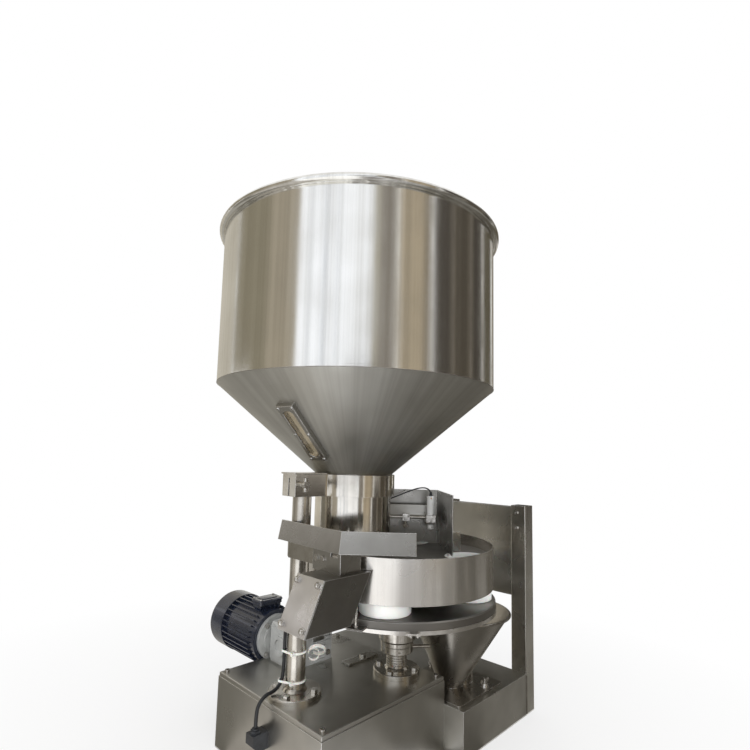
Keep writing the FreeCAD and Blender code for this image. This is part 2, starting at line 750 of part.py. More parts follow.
def neck_clamp():
    """Clamp: ring round the neck, solid block to the column, cover plate on top."""
    reach, angle = clamp_frame()
    ring_r = NECK_R + SEAT_GAP + CLAMP_RING_WALL
    ring = cyl(HOPPER_X, HOPPER_Y, CLAMP_LOW_Z, CLAMP_HIGH_Z, ring_r)
    half = CLAMP_BLOCK_WIDTH / 2.0
    block = box(HOPPER_X, HOPPER_X + reach + CLAMP_BLOCK_PAST_COLUMN, HOPPER_Y - half, HOPPER_Y + half,
                CLAMP_LOW_Z, CLAMP_HIGH_Z)
    cover = box(HOPPER_X + ring_r - 4.0, HOPPER_X + reach + CLAMP_BLOCK_PAST_COLUMN + 3.0,
                HOPPER_Y - half - 2.0, HOPPER_Y + half + 2.0,
                CLAMP_HIGH_Z, CLAMP_HIGH_Z + CLAMP_COVER_THICK)
    cover = cover.cut(cyl(HOPPER_X, HOPPER_Y, CLAMP_HIGH_Z - 1, CLAMP_HIGH_Z + 10, ring_r + 3.0))
    body = fuse([ring, turned(fuse([block, cover]), HOPPER_X, HOPPER_Y, angle)])
    body = body.cut(cyl(HOPPER_X, HOPPER_Y, CLAMP_LOW_Z - 1, CLAMP_HIGH_Z + 20, NECK_R + SEAT_GAP))
    body = body.cut(cyl(COLUMN_X, COLUMN_Y, CLAMP_LOW_Z - 1, COLUMN_TOP_Z + SEAT_GAP,
                        COLUMN_R + RUN_FIT))
    split = box(HOPPER_X + reach, HOPPER_X + reach + CLAMP_BLOCK_PAST_COLUMN + 1.0,
                HOPPER_Y - 2.0, HOPPER_Y + 2.0, CLAMP_LOW_Z - 1, CLAMP_HIGH_Z - 8.0)
    body = body.cut(turned(split, HOPPER_X, HOPPER_Y, angle))
    return body.cut(turned(clamp_bolt_bore(), HOPPER_X, HOPPER_Y, angle))


CLAMP_BOLT_Z = CLAMP_HIGH_Z - 19.0


def clamp_bolt_line():
    """Distance from the neck's axis to the lock bolt's axis."""
    return clamp_frame()[0] + COLUMN_R + RUN_FIT + CLAMP_BOLT_R + 1.0


def clamp_bolt_bore():
    """Hole of the lock bolt across the split ears."""
    start = Vec(HOPPER_X + clamp_bolt_line(), HOPPER_Y - CLAMP_BLOCK_WIDTH, CLAMP_BOLT_Z)
    end = Vec(start.x, HOPPER_Y + CLAMP_BLOCK_WIDTH, CLAMP_BOLT_Z)
    return rod(start, end, CLAMP_BOLT_R + RUN_FIT)


def clamp_bolt():
    """Lock bolt with a cross bar head."""
    x = HOPPER_X + clamp_bolt_line()
    half = CLAMP_BLOCK_WIDTH / 2.0
    head_y = HOPPER_Y + half + CLAMP_BOLT_REACH
    shank = rod(Vec(x, HOPPER_Y - half - 3.0, CLAMP_BOLT_Z), Vec(x, head_y, CLAMP_BOLT_Z), CLAMP_BOLT_R)
    bar = rod(Vec(x, head_y, CLAMP_BOLT_Z - 13.0), Vec(x, head_y, CLAMP_BOLT_Z + 13.0), CLAMP_BOLT_R)
    knob = rod(Vec(x, head_y - 5.0, CLAMP_BOLT_Z), Vec(x, head_y + 5.0, CLAMP_BOLT_Z), CLAMP_BOLT_R + 2.0)
    return turned(fuse([shank, bar, knob]), HOPPER_X, HOPPER_Y, clamp_frame()[1])


def cup_spots():
    """Plan places of the cups."""
    step = 360.0 / CUP_COUNT
    return [polar(TURN_X, TURN_Y, CUP_PITCH_R, CUP_FIRST_ANGLE + step * i) for i in range(CUP_COUNT)]


PLATE_LOW_Z = PLATE_TOP_Z - PLATE_THICK
SLEEVE_SEAT_Z = PLATE_TOP_Z - SLEEVE_FLANGE_THICK


def hub_bolt_spots():
    """Plan places of the hub bolts."""
    return [polar(TURN_X, TURN_Y, HUB_BOLT_PITCH_R, 45.0 + 90.0 * i) for i in range(4)]


def turntable_plate():
    """Round plate with a stepped hole for each cup sleeve."""
    plate = cyl(TURN_X, TURN_Y, PLATE_LOW_Z, PLATE_TOP_Z, RING_R - RING_WALL - 0.1)
    for spot in cup_spots():
        plate = plate.cut(cyl(spot.x, spot.y, PLATE_LOW_Z - 1, PLATE_TOP_Z + 1, SLEEVE_R + SEAT_GAP / 2))
        plate = plate.cut(cyl(spot.x, spot.y, SLEEVE_SEAT_Z, PLATE_TOP_Z + 1, SLEEVE_FLANGE_R + SEAT_GAP / 2))
    plate = plate.cut(cyl(TURN_X, TURN_Y, PLATE_LOW_Z - 1, PLATE_TOP_Z + 1, SHAFT_R - 3.0))
    for spot in hub_bolt_spots():
        plate = plate.cut(cyl(spot.x, spot.y, PLATE_LOW_Z - 1, PLATE_TOP_Z + 1, M6_R))
    return plate


def turntable_ring():
    """Deep rolled band round the plate, with a folded bead at its top and foot."""
    profile = [(RING_R - RING_WALL, RING_LOW_Z), (RING_R, RING_LOW_Z), (RING_R, RING_HIGH_Z),
               (RING_R - RING_WALL, RING_HIGH_Z)]
    return revolve(profile, TURN_X, TURN_Y)


def turntable_hub():
    """Flanged hub under the plate."""
    low = PLATE_LOW_Z - HUB_HEIGHT
    profile = [(SHAFT_R + RUN_FIT, low), (SHAFT_R + 9.0, low), (SHAFT_R + 9.0, PLATE_LOW_Z - 8.0),
               (HUB_R, PLATE_LOW_Z - 8.0), (HUB_R, PLATE_LOW_Z), (SHAFT_R + RUN_FIT, PLATE_LOW_Z)]
    hub = revolve(profile, TURN_X, TURN_Y)
    for spot in hub_bolt_spots():
        hub = hub.cut(cyl(spot.x, spot.y, PLATE_LOW_Z - 9.0, PLATE_LOW_Z + 1, M6_R))
    return hub


def hub_bolts():
    """Socket screws that hold plate and hub together."""
    return [socket_screw(Vec(s.x, s.y, PLATE_TOP_Z), Vec(0, 0, 1), M6_R, PLATE_THICK + 8.0)
            for s in hub_bolt_spots()]


def turntable_shaft():
    """Stepped shaft from the belt pulley up to the nut on the plate."""
    profile = [(0, SHAFT_LOW_Z), (SHAFT_R - 1.0, SHAFT_LOW_Z), (SHAFT_R, SHAFT_LOW_Z + 1.0),
               (SHAFT_R, PLATE_LOW_Z), (SHAFT_R - 3.0, PLATE_LOW_Z), (SHAFT_R - 3.0, PLATE_TOP_Z + 15.0),
               (SHAFT_R - 4.0, PLATE_TOP_Z + 16.0), (0, PLATE_TOP_Z + 16.0)]
    return revolve(profile, TURN_X, TURN_Y)


def hub_nut():
    """Nut and washer that hold the plate on the shaft."""
    nut = hex_prism(Vec(TURN_X, TURN_Y, PLATE_TOP_Z + 3.0), Vec(0, 0, 1), 36.0, 10.0)
    washer = cyl(TURN_X, TURN_Y, PLATE_TOP_Z, PLATE_TOP_Z + 3.0, SHAFT_R + 6.0)
    return fuse([nut, washer]).cut(cyl(TURN_X, TURN_Y, PLATE_TOP_Z - 1, PLATE_TOP_Z + 20, SHAFT_R - 3.0))


def upper_cups():
    """Flanged sleeves that hang in the plate, flush with its top."""
    top = PLATE_TOP_Z
    inner = SLEEVE_R - SLEEVE_WALL
    profile = [(inner, SLEEVE_LOW_Z), (SLEEVE_R, SLEEVE_LOW_Z), (SLEEVE_R, SLEEVE_SEAT_Z),
               (SLEEVE_FLANGE_R, SLEEVE_SEAT_Z), (SLEEVE_FLANGE_R, top - 1.0),
               (SLEEVE_FLANGE_R - 1.0, top), (inner + 1.0, top), (inner, top - 1.0)]
    return [revolve(profile, s.x, s.y) for s in cup_spots()]


CUP_LOW_Z = TRAY_TOP_Z + SEAT_GAP


def lower_cups():
    """Thick plastic cups that slide on the sleeves and on the tray."""
    inner = SLEEVE_R + SLIDE_FIT
    low_inner = CUP_R - CUP_WALL - 1.0
    top = CUP_LOW_Z + CUP_HEIGHT
    profile = [(low_inner, CUP_LOW_Z), (CUP_R - 1.0, CUP_LOW_Z), (CUP_R, CUP_LOW_Z + 1.0),
               (CUP_R, top - 1.0), (CUP_R - 1.0, top), (inner, top), (inner, CUP_LOW_Z + 12.0),
               (low_inner, CUP_LOW_Z + 11.0)]
    return [revolve(profile, s.x, s.y) for s in cup_spots()]


TRAY_LOW_Z = TRAY_TOP_Z - TRAY_THICK
HOOP_HIGH_Z = TRAY_TOP_Z - TRAY_SKIRT + HOOP_HEIGHT


def discharge_spot():
    """Plan place of the tray's discharge hole."""
    return polar(TURN_X, TURN_Y, CUP_PITCH_R, DISCHARGE_ANGLE)


def bottom_tray():
    """Round plate under the cups with a turned-down edge and a lipped hole."""
    skirt_low = TRAY_TOP_Z - TRAY_SKIRT
    profile = [(SHAFT_R + 6.0, TRAY_LOW_Z), (TRAY_R - TRAY_SKIRT_WALL, TRAY_LOW_Z),
               (TRAY_R - TRAY_SKIRT_WALL, skirt_low), (TRAY_R, skirt_low),
               (TRAY_R, TRAY_TOP_Z - 2.0), (TRAY_R - 2.0, TRAY_TOP_Z), (SHAFT_R + 6.0, TRAY_TOP_Z)]
    tray = revolve(profile, TURN_X, TURN_Y)
    hole = discharge_spot()
    lip = tube(hole.x, hole.y, TRAY_LOW_Z - DISCHARGE_LIP, TRAY_LOW_Z, DISCHARGE_R + 2.0, DISCHARGE_R)
    tray = fuse([tray, lip])
    tray = tray.cut(cyl(hole.x, hole.y, TRAY_LOW_Z - DISCHARGE_LIP - 1, TRAY_TOP_Z + 1, DISCHARGE_R))
    for spot in carrier_screw_spots():
        tray = tray.cut(cyl(spot.x, spot.y, TRAY_LOW_Z - 1, TRAY_TOP_Z + 1, M6_R))
    return fuse([tray, tray_lug()])


def carrier_screw_spots():
    """Plan places of the screws that hold the tray on its carrier."""
    return [polar(TURN_X, TURN_Y, (CARRIER_R + SUPPORT_NECK_R) / 2.0, 45.0 + 90.0 * i) for i in range(4)]


def carrier_screws():
    """Countersunk screws, flush with the tray."""
    screws = []
    for spot in carrier_screw_spots():
        screws.append(cyl(spot.x, spot.y, TRAY_LOW_Z - 12.0, TRAY_TOP_Z, M6_R))
    return screws


def tray_carrier():
    """Sleeve that rides on the threaded neck and carries the tray."""
    low = COLLAR_LOW_Z + COLLAR_HEIGHT
    bore = SUPPORT_NECK_R + RUN_FIT
    profile = [(bore, low), (CARRIER_R - 4.0, low), (CARRIER_R - 4.0, low + 8.0),
               (CARRIER_R, low + 12.0), (CARRIER_R, TRAY_LOW_Z), (bore, TRAY_LOW_Z)]
    sleeve = revolve(profile, TURN_X, TURN_Y)
    for spot in carrier_screw_spots():
        sleeve = sleeve.cut(cyl(spot.x, spot.y, TRAY_LOW_Z - 12.0, TRAY_LOW_Z + 1, M6_R))
    return sleeve


def tray_hoop():
    """Bright band round the tray's foot, closed by two ears."""
    low = HOOP_HIGH_Z - HOOP_HEIGHT
    ring = tube(TURN_X, TURN_Y, low, HOOP_HIGH_Z, TRAY_R + HOOP_WALL, TRAY_R)
    ears = []
    for side in (-1.0, 1.0):
        ear = box(TURN_X + TRAY_R + 0.5, TURN_X + TRAY_R + 13.0, TURN_Y + side * 6.0 - 1.5,
                  TURN_Y + side * 6.0 + 1.5, low, HOOP_HIGH_Z)
        ears.append(turned(ear, TURN_X, TURN_Y, HOOP_SCREW_ANGLE))
    gap = box(TURN_X + TRAY_R - 2.0, TURN_X + TRAY_R + 20.0, TURN_Y - 4.5, TURN_Y + 4.5, low - 1, HOOP_HIGH_Z + 1)
    hoop = fuse([ring] + ears).cut(turned(gap, TURN_X, TURN_Y, HOOP_SCREW_ANGLE))
    return hoop.cut(turned(hoop_screw_bar(1.5), TURN_X, TURN_Y, HOOP_SCREW_ANGLE))


def hoop_screw_bar(radius):
    """Straight bar through both hoop ears, before it is turned to its place."""
    z = HOOP_HIGH_Z - HOOP_HEIGHT / 2.0
    x = TURN_X + TRAY_R + 8.0
    return rod(Vec(x, TURN_Y - 14.0, z), Vec(x, TURN_Y + 14.0, z), radius)


def hoop_screw():
    """Screw that draws the hoop tight."""
    z = HOOP_HIGH_Z - HOOP_HEIGHT / 2.0
    x = TURN_X + TRAY_R + 8.0
    head = rod(Vec(x, TURN_Y - 11.0, z), Vec(x, TURN_Y - 7.5, z), 3.2)
    nut = hex_prism(Vec(x, TURN_Y + 7.5, z), Vec(0, 1, 0), 5.5, 3.5)
    return turned(fuse([hoop_screw_bar(1.5), head, nut]), TURN_X, TURN_Y, HOOP_SCREW_ANGLE)


def tray_lug():
    """Lug on the tray's edge that carries the stop pin."""
    low = HOOP_HIGH_Z + SEAT_GAP
    root = cyl(TURN_X, TURN_Y, low - 1, low + LUG_THICK + 1, TRAY_R - TRAY_SKIRT_WALL / 2)
    lug = box(TURN_X + TRAY_R - 3.0, TURN_X + TRAY_R + LUG_REACH, TURN_Y - LUG_WIDTH / 2,
              TURN_Y + LUG_WIDTH / 2, low, low + LUG_THICK).cut(root)
    pin_hole = cyl(TURN_X + TRAY_R + LUG_REACH - 8.0, TURN_Y, low - 1, low + LUG_THICK + 1, STOP_PIN_R)
    return turned(lug.cut(pin_hole), TURN_X, TURN_Y, LUG_ANGLE)


def stop_pin():
    """Upright pin in the lug, with its small foot nut."""
    low = HOOP_HIGH_Z + SEAT_GAP
    x = TURN_X + TRAY_R + LUG_REACH - 8.0
    pin = cyl(x, TURN_Y, low, low + LUG_THICK + STOP_PIN_HEIGHT, STOP_PIN_R)
    nut = hex_prism(Vec(x, TURN_Y, low + LUG_THICK), Vec(0, 0, 1), 8.0, 4.0)
    return turned(fuse([pin, nut]), TURN_X, TURN_Y, LUG_ANGLE)


def support_bolt_spots():
    """Plan places of the support's bolts."""
    return [polar(TURN_X, TURN_Y, SUPPORT_BOLT_PITCH_R, 22.0 + 90.0 * i) for i in range(4)]


def shaft_support():
    """Flanged support with a threaded neck that holds the turntable shaft."""
    flange_top = BASE_TOP_Z + SUPPORT_FLANGE_THICK
    bore = SHAFT_R + BUSH_WALL
    outline = [(bore, BASE_TOP_Z), (SUPPORT_FLANGE_R, BASE_TOP_Z), (SUPPORT_FLANGE_R, flange_top - 1.5),
               (SUPPORT_FLANGE_R - 1.5, flange_top), (SUPPORT_NECK_R + 4.0, flange_top),
               (SUPPORT_NECK_R, flange_top + 4.0)]
    for groove in range(THREAD_GROOVES):
        z = flange_top + 7.0 + groove * THREAD_PITCH
        outline.append((SUPPORT_NECK_R, z))
        outline.append((SUPPORT_NECK_R - THREAD_DEPTH, z + THREAD_PITCH / 4))
        outline.append((SUPPORT_NECK_R, z + THREAD_PITCH / 2))
    outline.append((SUPPORT_NECK_R, SUPPORT_NECK_TOP_Z))
    outline.append((bore, SUPPORT_NECK_TOP_Z))
    support = revolve(outline, TURN_X, TURN_Y)
    for spot in support_bolt_spots():
        support = support.cut(cyl(spot.x, spot.y, BASE_TOP_Z - 1, flange_top + 1, M8_R))
    return support


def support_bolts():
    """Hexagon bolts of the support."""
    top = BASE_TOP_Z + SUPPORT_FLANGE_THICK
    grip = SUPPORT_FLANGE_THICK + TOP_PLATE_THICK
    return [hex_bolt(Vec(s.x, s.y, top), Vec(0, 0, 1), M8_R, grip) for s in support_bolt_spots()]


def shaft_bushes():
    """Two plain bushes in the support's bore."""
    lows = (BASE_TOP_Z, SUPPORT_NECK_TOP_Z - BUSH_LENGTH)
    return [tube(TURN_X, TURN_Y, z, z + BUSH_LENGTH, SHAFT_R + BUSH_WALL, SHAFT_R + RUN_FIT) for z in lows]


def adjusting_collar():
    """Round nut on the threaded neck that sets the tray's height."""
    low = COLLAR_LOW_Z
    top = low + COLLAR_HEIGHT
    profile = [(SUPPORT_NECK_R + RUN_FIT, low), (COLLAR_R - 1.5, low), (COLLAR_R, low + 1.5),
               (COLLAR_R, top - 1.5), (COLLAR_R - 1.5, top), (SUPPORT_NECK_R + RUN_FIT, top)]
    collar = revolve(profile, TURN_X, TURN_Y)
    for step in range(4):
        start = polar(TURN_X, TURN_Y, COLLAR_R - 8.0, TOMMY_BAR_ANGLE + 90.0 * step, low + COLLAR_HEIGHT / 2)
        end = polar(TURN_X, TURN_Y, COLLAR_R + 2.0, TOMMY_BAR_ANGLE + 90.0 * step, low + COLLAR_HEIGHT / 2)
        collar = collar.cut(rod(start, end, TOMMY_BAR_R))
    return collar


def tommy_bar():
    """Bar in one of the collar's holes, to turn it by hand."""
    z = COLLAR_LOW_Z + COLLAR_HEIGHT / 2.0
    start = polar(TURN_X, TURN_Y, COLLAR_R - 8.0, TOMMY_BAR_ANGLE, z)
    end = polar(TURN_X, TURN_Y, COLLAR_R - 8.0 + TOMMY_BAR_LENGTH, TOMMY_BAR_ANGLE, z)
    return rod(start, end, TOMMY_BAR_R)


def outlet_axis():
    """Plan place of the funnel's outlet."""
    return Vec(FUNNEL_X + OUTLET_SHIFT_X, FUNNEL_Y + OUTLET_SHIFT_Y, 0)


def funnel_cone(shrink, low_z):
    """Leaning cone between the rim circle and the foot circle."""
    part = (low_z - FUNNEL_LOW_Z) / (FUNNEL_TOP_Z - FUNNEL_LOW_Z)
    low_r = FUNNEL_LOW_R + part * (FUNNEL_R - FUNNEL_LOW_R) - shrink
    low_x = FUNNEL_X + FUNNEL_LOW_SHIFT_X * (1.0 - part)
    low_y = FUNNEL_Y + FUNNEL_LOW_SHIFT_Y * (1.0 - part)
    top = Part.Wire(Part.makeCircle(FUNNEL_R - shrink, Vec(FUNNEL_X, FUNNEL_Y, FUNNEL_TOP_Z)))
    low = Part.Wire(Part.makeCircle(low_r, Vec(low_x, low_y, low_z)))
    return Part.makeLoft([low, top], True, True)


def discharge_funnel():
    """Open cone that runs into an upright outlet tube, on its square plate."""
    axis = outlet_axis()
    plate_top = DECK_TOP_Z + FUNNEL_PLATE_THICK
    plate = rounded_block(FUNNEL_PLATE_LOW_X, FUNNEL_PLATE_HIGH_X, FUNNEL_PLATE_LOW_Y,
                          FUNNEL_PLATE_HIGH_Y, DECK_TOP_Z, plate_top, 6.0)
    tube_out = cyl(axis.x, axis.y, OUTLET_LOW_Z, OUTLET_HIGH_Z, OUTLET_R)
    outer = fuse([funnel_cone(0.0, FUNNEL_LOW_Z), tube_out])
    rim = cyl(FUNNEL_X, FUNNEL_Y, FUNNEL_TOP_Z - 2.0 * FUNNEL_RIM_R, FUNNEL_TOP_Z, FUNNEL_R + FUNNEL_RIM_R)
    rim = rim.makeFillet(FUNNEL_RIM_R * 0.95, rim.Edges)
    outer = fuse([outer, plate, rim])
    inner = funnel_cone(FUNNEL_WALL * 1.3, FUNNEL_LOW_Z + FUNNEL_WALL)
    above = cyl(FUNNEL_X, FUNNEL_Y, FUNNEL_TOP_Z - 0.01, FUNNEL_TOP_Z + 10.0, FUNNEL_R - FUNNEL_WALL * 1.3)
    tube_in = cyl(axis.x, axis.y, OUTLET_LOW_Z - 1.0, OUTLET_HIGH_Z, OUTLET_R - FUNNEL_WALL)
    body = outer.cut(inner).cut(above).cut(tube_in)
    for spot in wing_stud_spots():
        body = body.cut(cyl(spot.x, spot.y, DECK_TOP_Z - 1, plate_top + 1, M8_R + SEAT_GAP))
    return body


def wing_stud_spots():
    """Plan places of the funnel plate's studs."""
    ys = (FUNNEL_PLATE_LOW_Y + WING_STUD_INSET, FUNNEL_PLATE_HIGH_Y - WING_STUD_INSET)
    return [Vec(WING_STUD_X, y, 0) for y in ys]


def wing_nuts():
    """Wing nuts on studs that come up through deck and plate."""
    nuts = []
    seat_z = DECK_TOP_Z + FUNNEL_PLATE_THICK
    for spot in wing_stud_spots():
        stud = cyl(spot.x, spot.y, DECK_TOP_Z - DECK_WALL, seat_z + 20.0, M8_R)
        base = Part.makeCone(9.0, 6.5, 9.0, Vec(spot.x, spot.y, seat_z))
        wing = extrude([Vec(spot.x - 17.0, spot.y - 1.5, seat_z + 14.0),
                        Vec(spot.x - 6.0, spot.y - 1.5, seat_z + 1.0),
                        Vec(spot.x + 6.0, spot.y - 1.5, seat_z + 1.0),
                        Vec(spot.x + 17.0, spot.y - 1.5, seat_z + 14.0),
                        Vec(spot.x + 12.0, spot.y - 1.5, seat_z + 19.0),
                        Vec(spot.x, spot.y - 1.5, seat_z + 8.0),
                        Vec(spot.x - 12.0, spot.y - 1.5, seat_z + 19.0)], Vec(0, 3.0, 0))
        head = cyl(spot.x, spot.y, DECK_TOP_Z - DECK_WALL - 4.0, DECK_TOP_Z - DECK_WALL, M8_R + 4.0)
        nuts.append(fuse([stud, base, wing, head]))
    return nuts


def pulley(x, y, bore):
    """Toothed pulley with a boss."""
    body = cyl(x, y, PULLEY_LOW_Z, PULLEY_LOW_Z + PULLEY_WIDTH, PULLEY_R)
    groove = box(x + PULLEY_R - 2.2, x + PULLEY_R + 1.0, y - 2.4, y + 2.4,
                 PULLEY_LOW_Z - 1, PULLEY_LOW_Z + PULLEY_WIDTH + 1)
    grooves = [turned(groove, x, y, 360.0 / PULLEY_TEETH * i) for i in range(PULLEY_TEETH)]
    body = body.cut(Part.makeCompound(grooves))
    boss = cyl(x, y, PULLEY_LOW_Z - 6.0, PULLEY_LOW_Z, bore + 10.0)
    return fuse([body, boss]).cut(cyl(x, y, PULLEY_LOW_Z - 7.0, PULLEY_LOW_Z + PULLEY_WIDTH + 1, bore))


def drive_belt():
    """Closed toothed belt round both pulleys."""
    dx = DRIVE_X - TURN_X
    dy = DRIVE_Y - TURN_Y
    reach = math.hypot(dx, dy)
    angle = math.degrees(math.atan2(dy, dx))
    low = PULLEY_LOW_Z + (PULLEY_WIDTH - BELT_WIDTH) / 2.0
    high = low + BELT_WIDTH

    def racetrack(radius, z0, z1):
        """Filled outline round both pulley circles."""
        straight = box(TURN_X, TURN_X + reach, TURN_Y - radius, TURN_Y + radius, z0, z1)
        ends = [cyl(TURN_X, TURN_Y, z0, z1, radius), cyl(TURN_X + reach, TURN_Y, z0, z1, radius)]
        return fuse([straight] + ends)

    inside = PULLEY_R + SEAT_GAP
    loop = racetrack(inside + BELT_THICK, low, high).cut(racetrack(inside, low - 1, high + 1))
    return turned(loop, TURN_X, TURN_Y, angle)


def drive_shaft():
    """Output shaft of the gearbox, down through the plate to its pulley."""
    return cyl(DRIVE_X, DRIVE_Y, PULLEY_LOW_Z - 8.0, BASE_TOP_Z + GEARBOX_HEIGHT - 10.0, DRIVE_SHAFT_R)


def gearbox_bolt_spots():
    """Plan places of the gearbox bolts."""
    xs = (GEARBOX_LOW_X + GEARBOX_BOLT_INSET, GEARBOX_HIGH_X - GEARBOX_BOLT_INSET)
    ys = (GEARBOX_LOW_Y + GEARBOX_BOLT_INSET, GEARBOX_HIGH_Y - GEARBOX_BOLT_INSET)
    return [Vec(x, y, 0) for x in xs for y in ys]


def gearbox_body():
    """Cast worm gearbox that lies flat, with grooves and a bearing cover."""
    high = BASE_TOP_Z + GEARBOX_HEIGHT
    body = rounded_block(GEARBOX_LOW_X, GEARBOX_HIGH_X, GEARBOX_LOW_Y, GEARBOX_HIGH_Y,
                         BASE_TOP_Z, high, GEARBOX_CORNER)
    body = body.makeChamfer(4.0, [e for e in body.Edges if e.BoundBox.ZMin > high - 0.1])
    fins = []
    for step in range(4):
        z = high - 12.0 - 9.0 * step
        slot = box(GEARBOX_HIGH_X - 26.0, GEARBOX_HIGH_X + 1.0, GEARBOX_LOW_Y - 1.0,
                   GEARBOX_LOW_Y + 4.0, z - 2.5, z + 2.5)
        fins.append(slot)
        fins.append(box(GEARBOX_HIGH_X - 5.0, GEARBOX_HIGH_X + 1.0, GEARBOX_LOW_Y + 14.0,
                        GEARBOX_HIGH_Y - 14.0, z - 2.5, z + 2.5))
    body = body.cut(Part.makeCompound(fins))
    middle_y = (GEARBOX_LOW_Y + GEARBOX_HIGH_Y) / 2.0
    side_pad = box(GEARBOX_LOW_X - 3.0, GEARBOX_LOW_X + 1.0, GEARBOX_LOW_Y + 10.0,
                   GEARBOX_HIGH_Y - 10.0, BASE_TOP_Z + 6.0, high - 8.0)
    side_ring = rod(Vec(GEARBOX_LOW_X - 7.0, middle_y, WORM_Z), Vec(GEARBOX_LOW_X, middle_y, WORM_Z), 21.0)
    side_bore = rod(Vec(GEARBOX_LOW_X - 8.0, middle_y, WORM_Z), Vec(GEARBOX_LOW_X - 4.0, middle_y, WORM_Z), 14.0)
    top_ring = cyl(DRIVE_X, DRIVE_Y, high - 1.0, high + 4.0, 34.0)
    top_cap = cyl(DRIVE_X, DRIVE_Y, high - 1.0, high + 6.0, 22.0)
    worm_cap = rod(Vec(WORM_X, GEARBOX_LOW_Y - 5.0, WORM_Z), Vec(WORM_X, GEARBOX_LOW_Y + 1.0, WORM_Z), 20.0)
    body = fuse([body, side_pad, side_ring, top_ring, top_cap, worm_cap]).cut(side_bore)
    for spot in gearbox_bolt_spots():
        body = body.cut(cyl(spot.x, spot.y, BASE_TOP_Z - 1, BASE_TOP_Z + GEARBOX_BOLT_DEPTH, M8_R))
    return body.cut(cyl(DRIVE_X, DRIVE_Y, BASE_TOP_Z - 1.0, BASE_TOP_Z + GEARBOX_HEIGHT - 8.0,
                        DRIVE_SHAFT_R + RUN_FIT))


def gearbox_bolts():
    """Bolts that hold the gearbox, from below the top plate."""
    grip = TOP_PLATE_THICK + GEARBOX_BOLT_DEPTH
    return [hex_bolt(Vec(s.x, s.y, TOP_PLATE_LOW_Z), Vec(0, 0, -1), M8_R, grip) for s in gearbox_bolt_spots()]


MOTOR_Y = GEARBOX_HIGH_Y
SHIELD_Y = MOTOR_Y + MOTOR_FLANGE_THICK
BODY_Y = SHIELD_Y + MOTOR_SHIELD_THICK
COWL_Y = BODY_Y + MOTOR_BODY_LENGTH


def along_y(y0, y1, radius):
    """Cylinder on the motor's axis."""
    return rod(Vec(WORM_X, y0, WORM_Z), Vec(WORM_X, y1, WORM_Z), radius)


def motor_flange():
    """Round flange of the gearbox that takes the motor."""
    ring = along_y(MOTOR_Y, SHIELD_Y, MOTOR_FLANGE_R)
    neck = along_y(MOTOR_Y, SHIELD_Y, MOTOR_FLANGE_R - MOTOR_FLANGE_STEP)
    ring = ring.cut(along_y(MOTOR_Y - 1.0, MOTOR_Y + 4.0, MOTOR_FLANGE_R + 5.0).cut(neck))
    for step in range(4):
        spot = motor_bolt_spot(step)
        ring = ring.cut(rod(Vec(spot.x, MOTOR_Y - 1, spot.z), Vec(spot.x, SHIELD_Y + 1, spot.z), M6_R))
    return ring.common(box(-500, 500, MOTOR_Y, SHIELD_Y, BASE_TOP_Z, 500))


def motor_bolt_spot(step):
    """Place of one of the motor flange bolts, on the flange."""
    turn = math.radians(45.0 + 90.0 * step)
    return Vec(WORM_X + (MOTOR_FLANGE_R - 7.0) * math.cos(turn), MOTOR_Y,
               WORM_Z + (MOTOR_FLANGE_R - 7.0) * math.sin(turn))


def motor_bolts():
    """Bolts between gearbox flange and motor."""
    bolts = []
    for step in range(4):
        spot = motor_bolt_spot(step)
        bolts.append(rod(Vec(spot.x, MOTOR_Y, spot.z), Vec(spot.x, SHIELD_Y, spot.z), M6_R))
        bolts[-1] = fuse([bolts[-1], hex_prism(Vec(spot.x, MOTOR_Y + 4.0, spot.z), Vec(0, -1, 0), 10.0, 3.5)])
    return bolts


def motor_body():
    """Finned motor body with its end shields and cast feet for the box."""
    shield = along_y(SHIELD_Y, BODY_Y, MOTOR_SHIELD_R)
    core = along_y(BODY_Y, COWL_Y, MOTOR_BODY_R)
    seat = along_y(COWL_Y - COWL_OVERLAP, COWL_Y, COWL_R - COWL_WALL)
    fin_end_y = COWL_Y - COWL_OVERLAP - SEAT_GAP
    fin = box(WORM_X - MOTOR_FIN_THICK / 2, WORM_X + MOTOR_FIN_THICK / 2, BODY_Y + 4.0, fin_end_y,
              WORM_Z + MOTOR_BODY_R - 3.0, WORM_Z + MOTOR_FIN_R)
    fins = []
    for step in range(MOTOR_FINS):
        copy = fin.copy()
        copy.rotate(Vec(WORM_X, 0, WORM_Z), Vec(0, 1, 0), 360.0 / MOTOR_FINS * (step + 0.5))
        fins.append(copy)
    pad = box(WORM_X - 28.0, WORM_X + 28.0, BODY_Y + 12.0, BODY_Y + 44.0,
              WORM_Z + MOTOR_BODY_R - 12.0, TERMINAL_LOW_Z)
    body = fuse([shield, core, seat, pad] + fins)
    return body.cut(along_y(COWL_Y - 20.0, COWL_Y + 1.0, MOTOR_SHAFT_R + RUN_FIT))


TERMINAL_LOW_Z = WORM_Z + MOTOR_FIN_R + 1.0
TERMINAL_HEIGHT = 12.0
TERMINAL_HALF = 32.0
TERMINAL_LENGTH = 40.0
TERMINAL_LID = 5.0
TERMINAL_OVERHANG = 1.5
TERMINAL_SET_BACK = 8.0
TERMINAL_CORNER = 8.0
TERMINAL_EDGE = 2.5


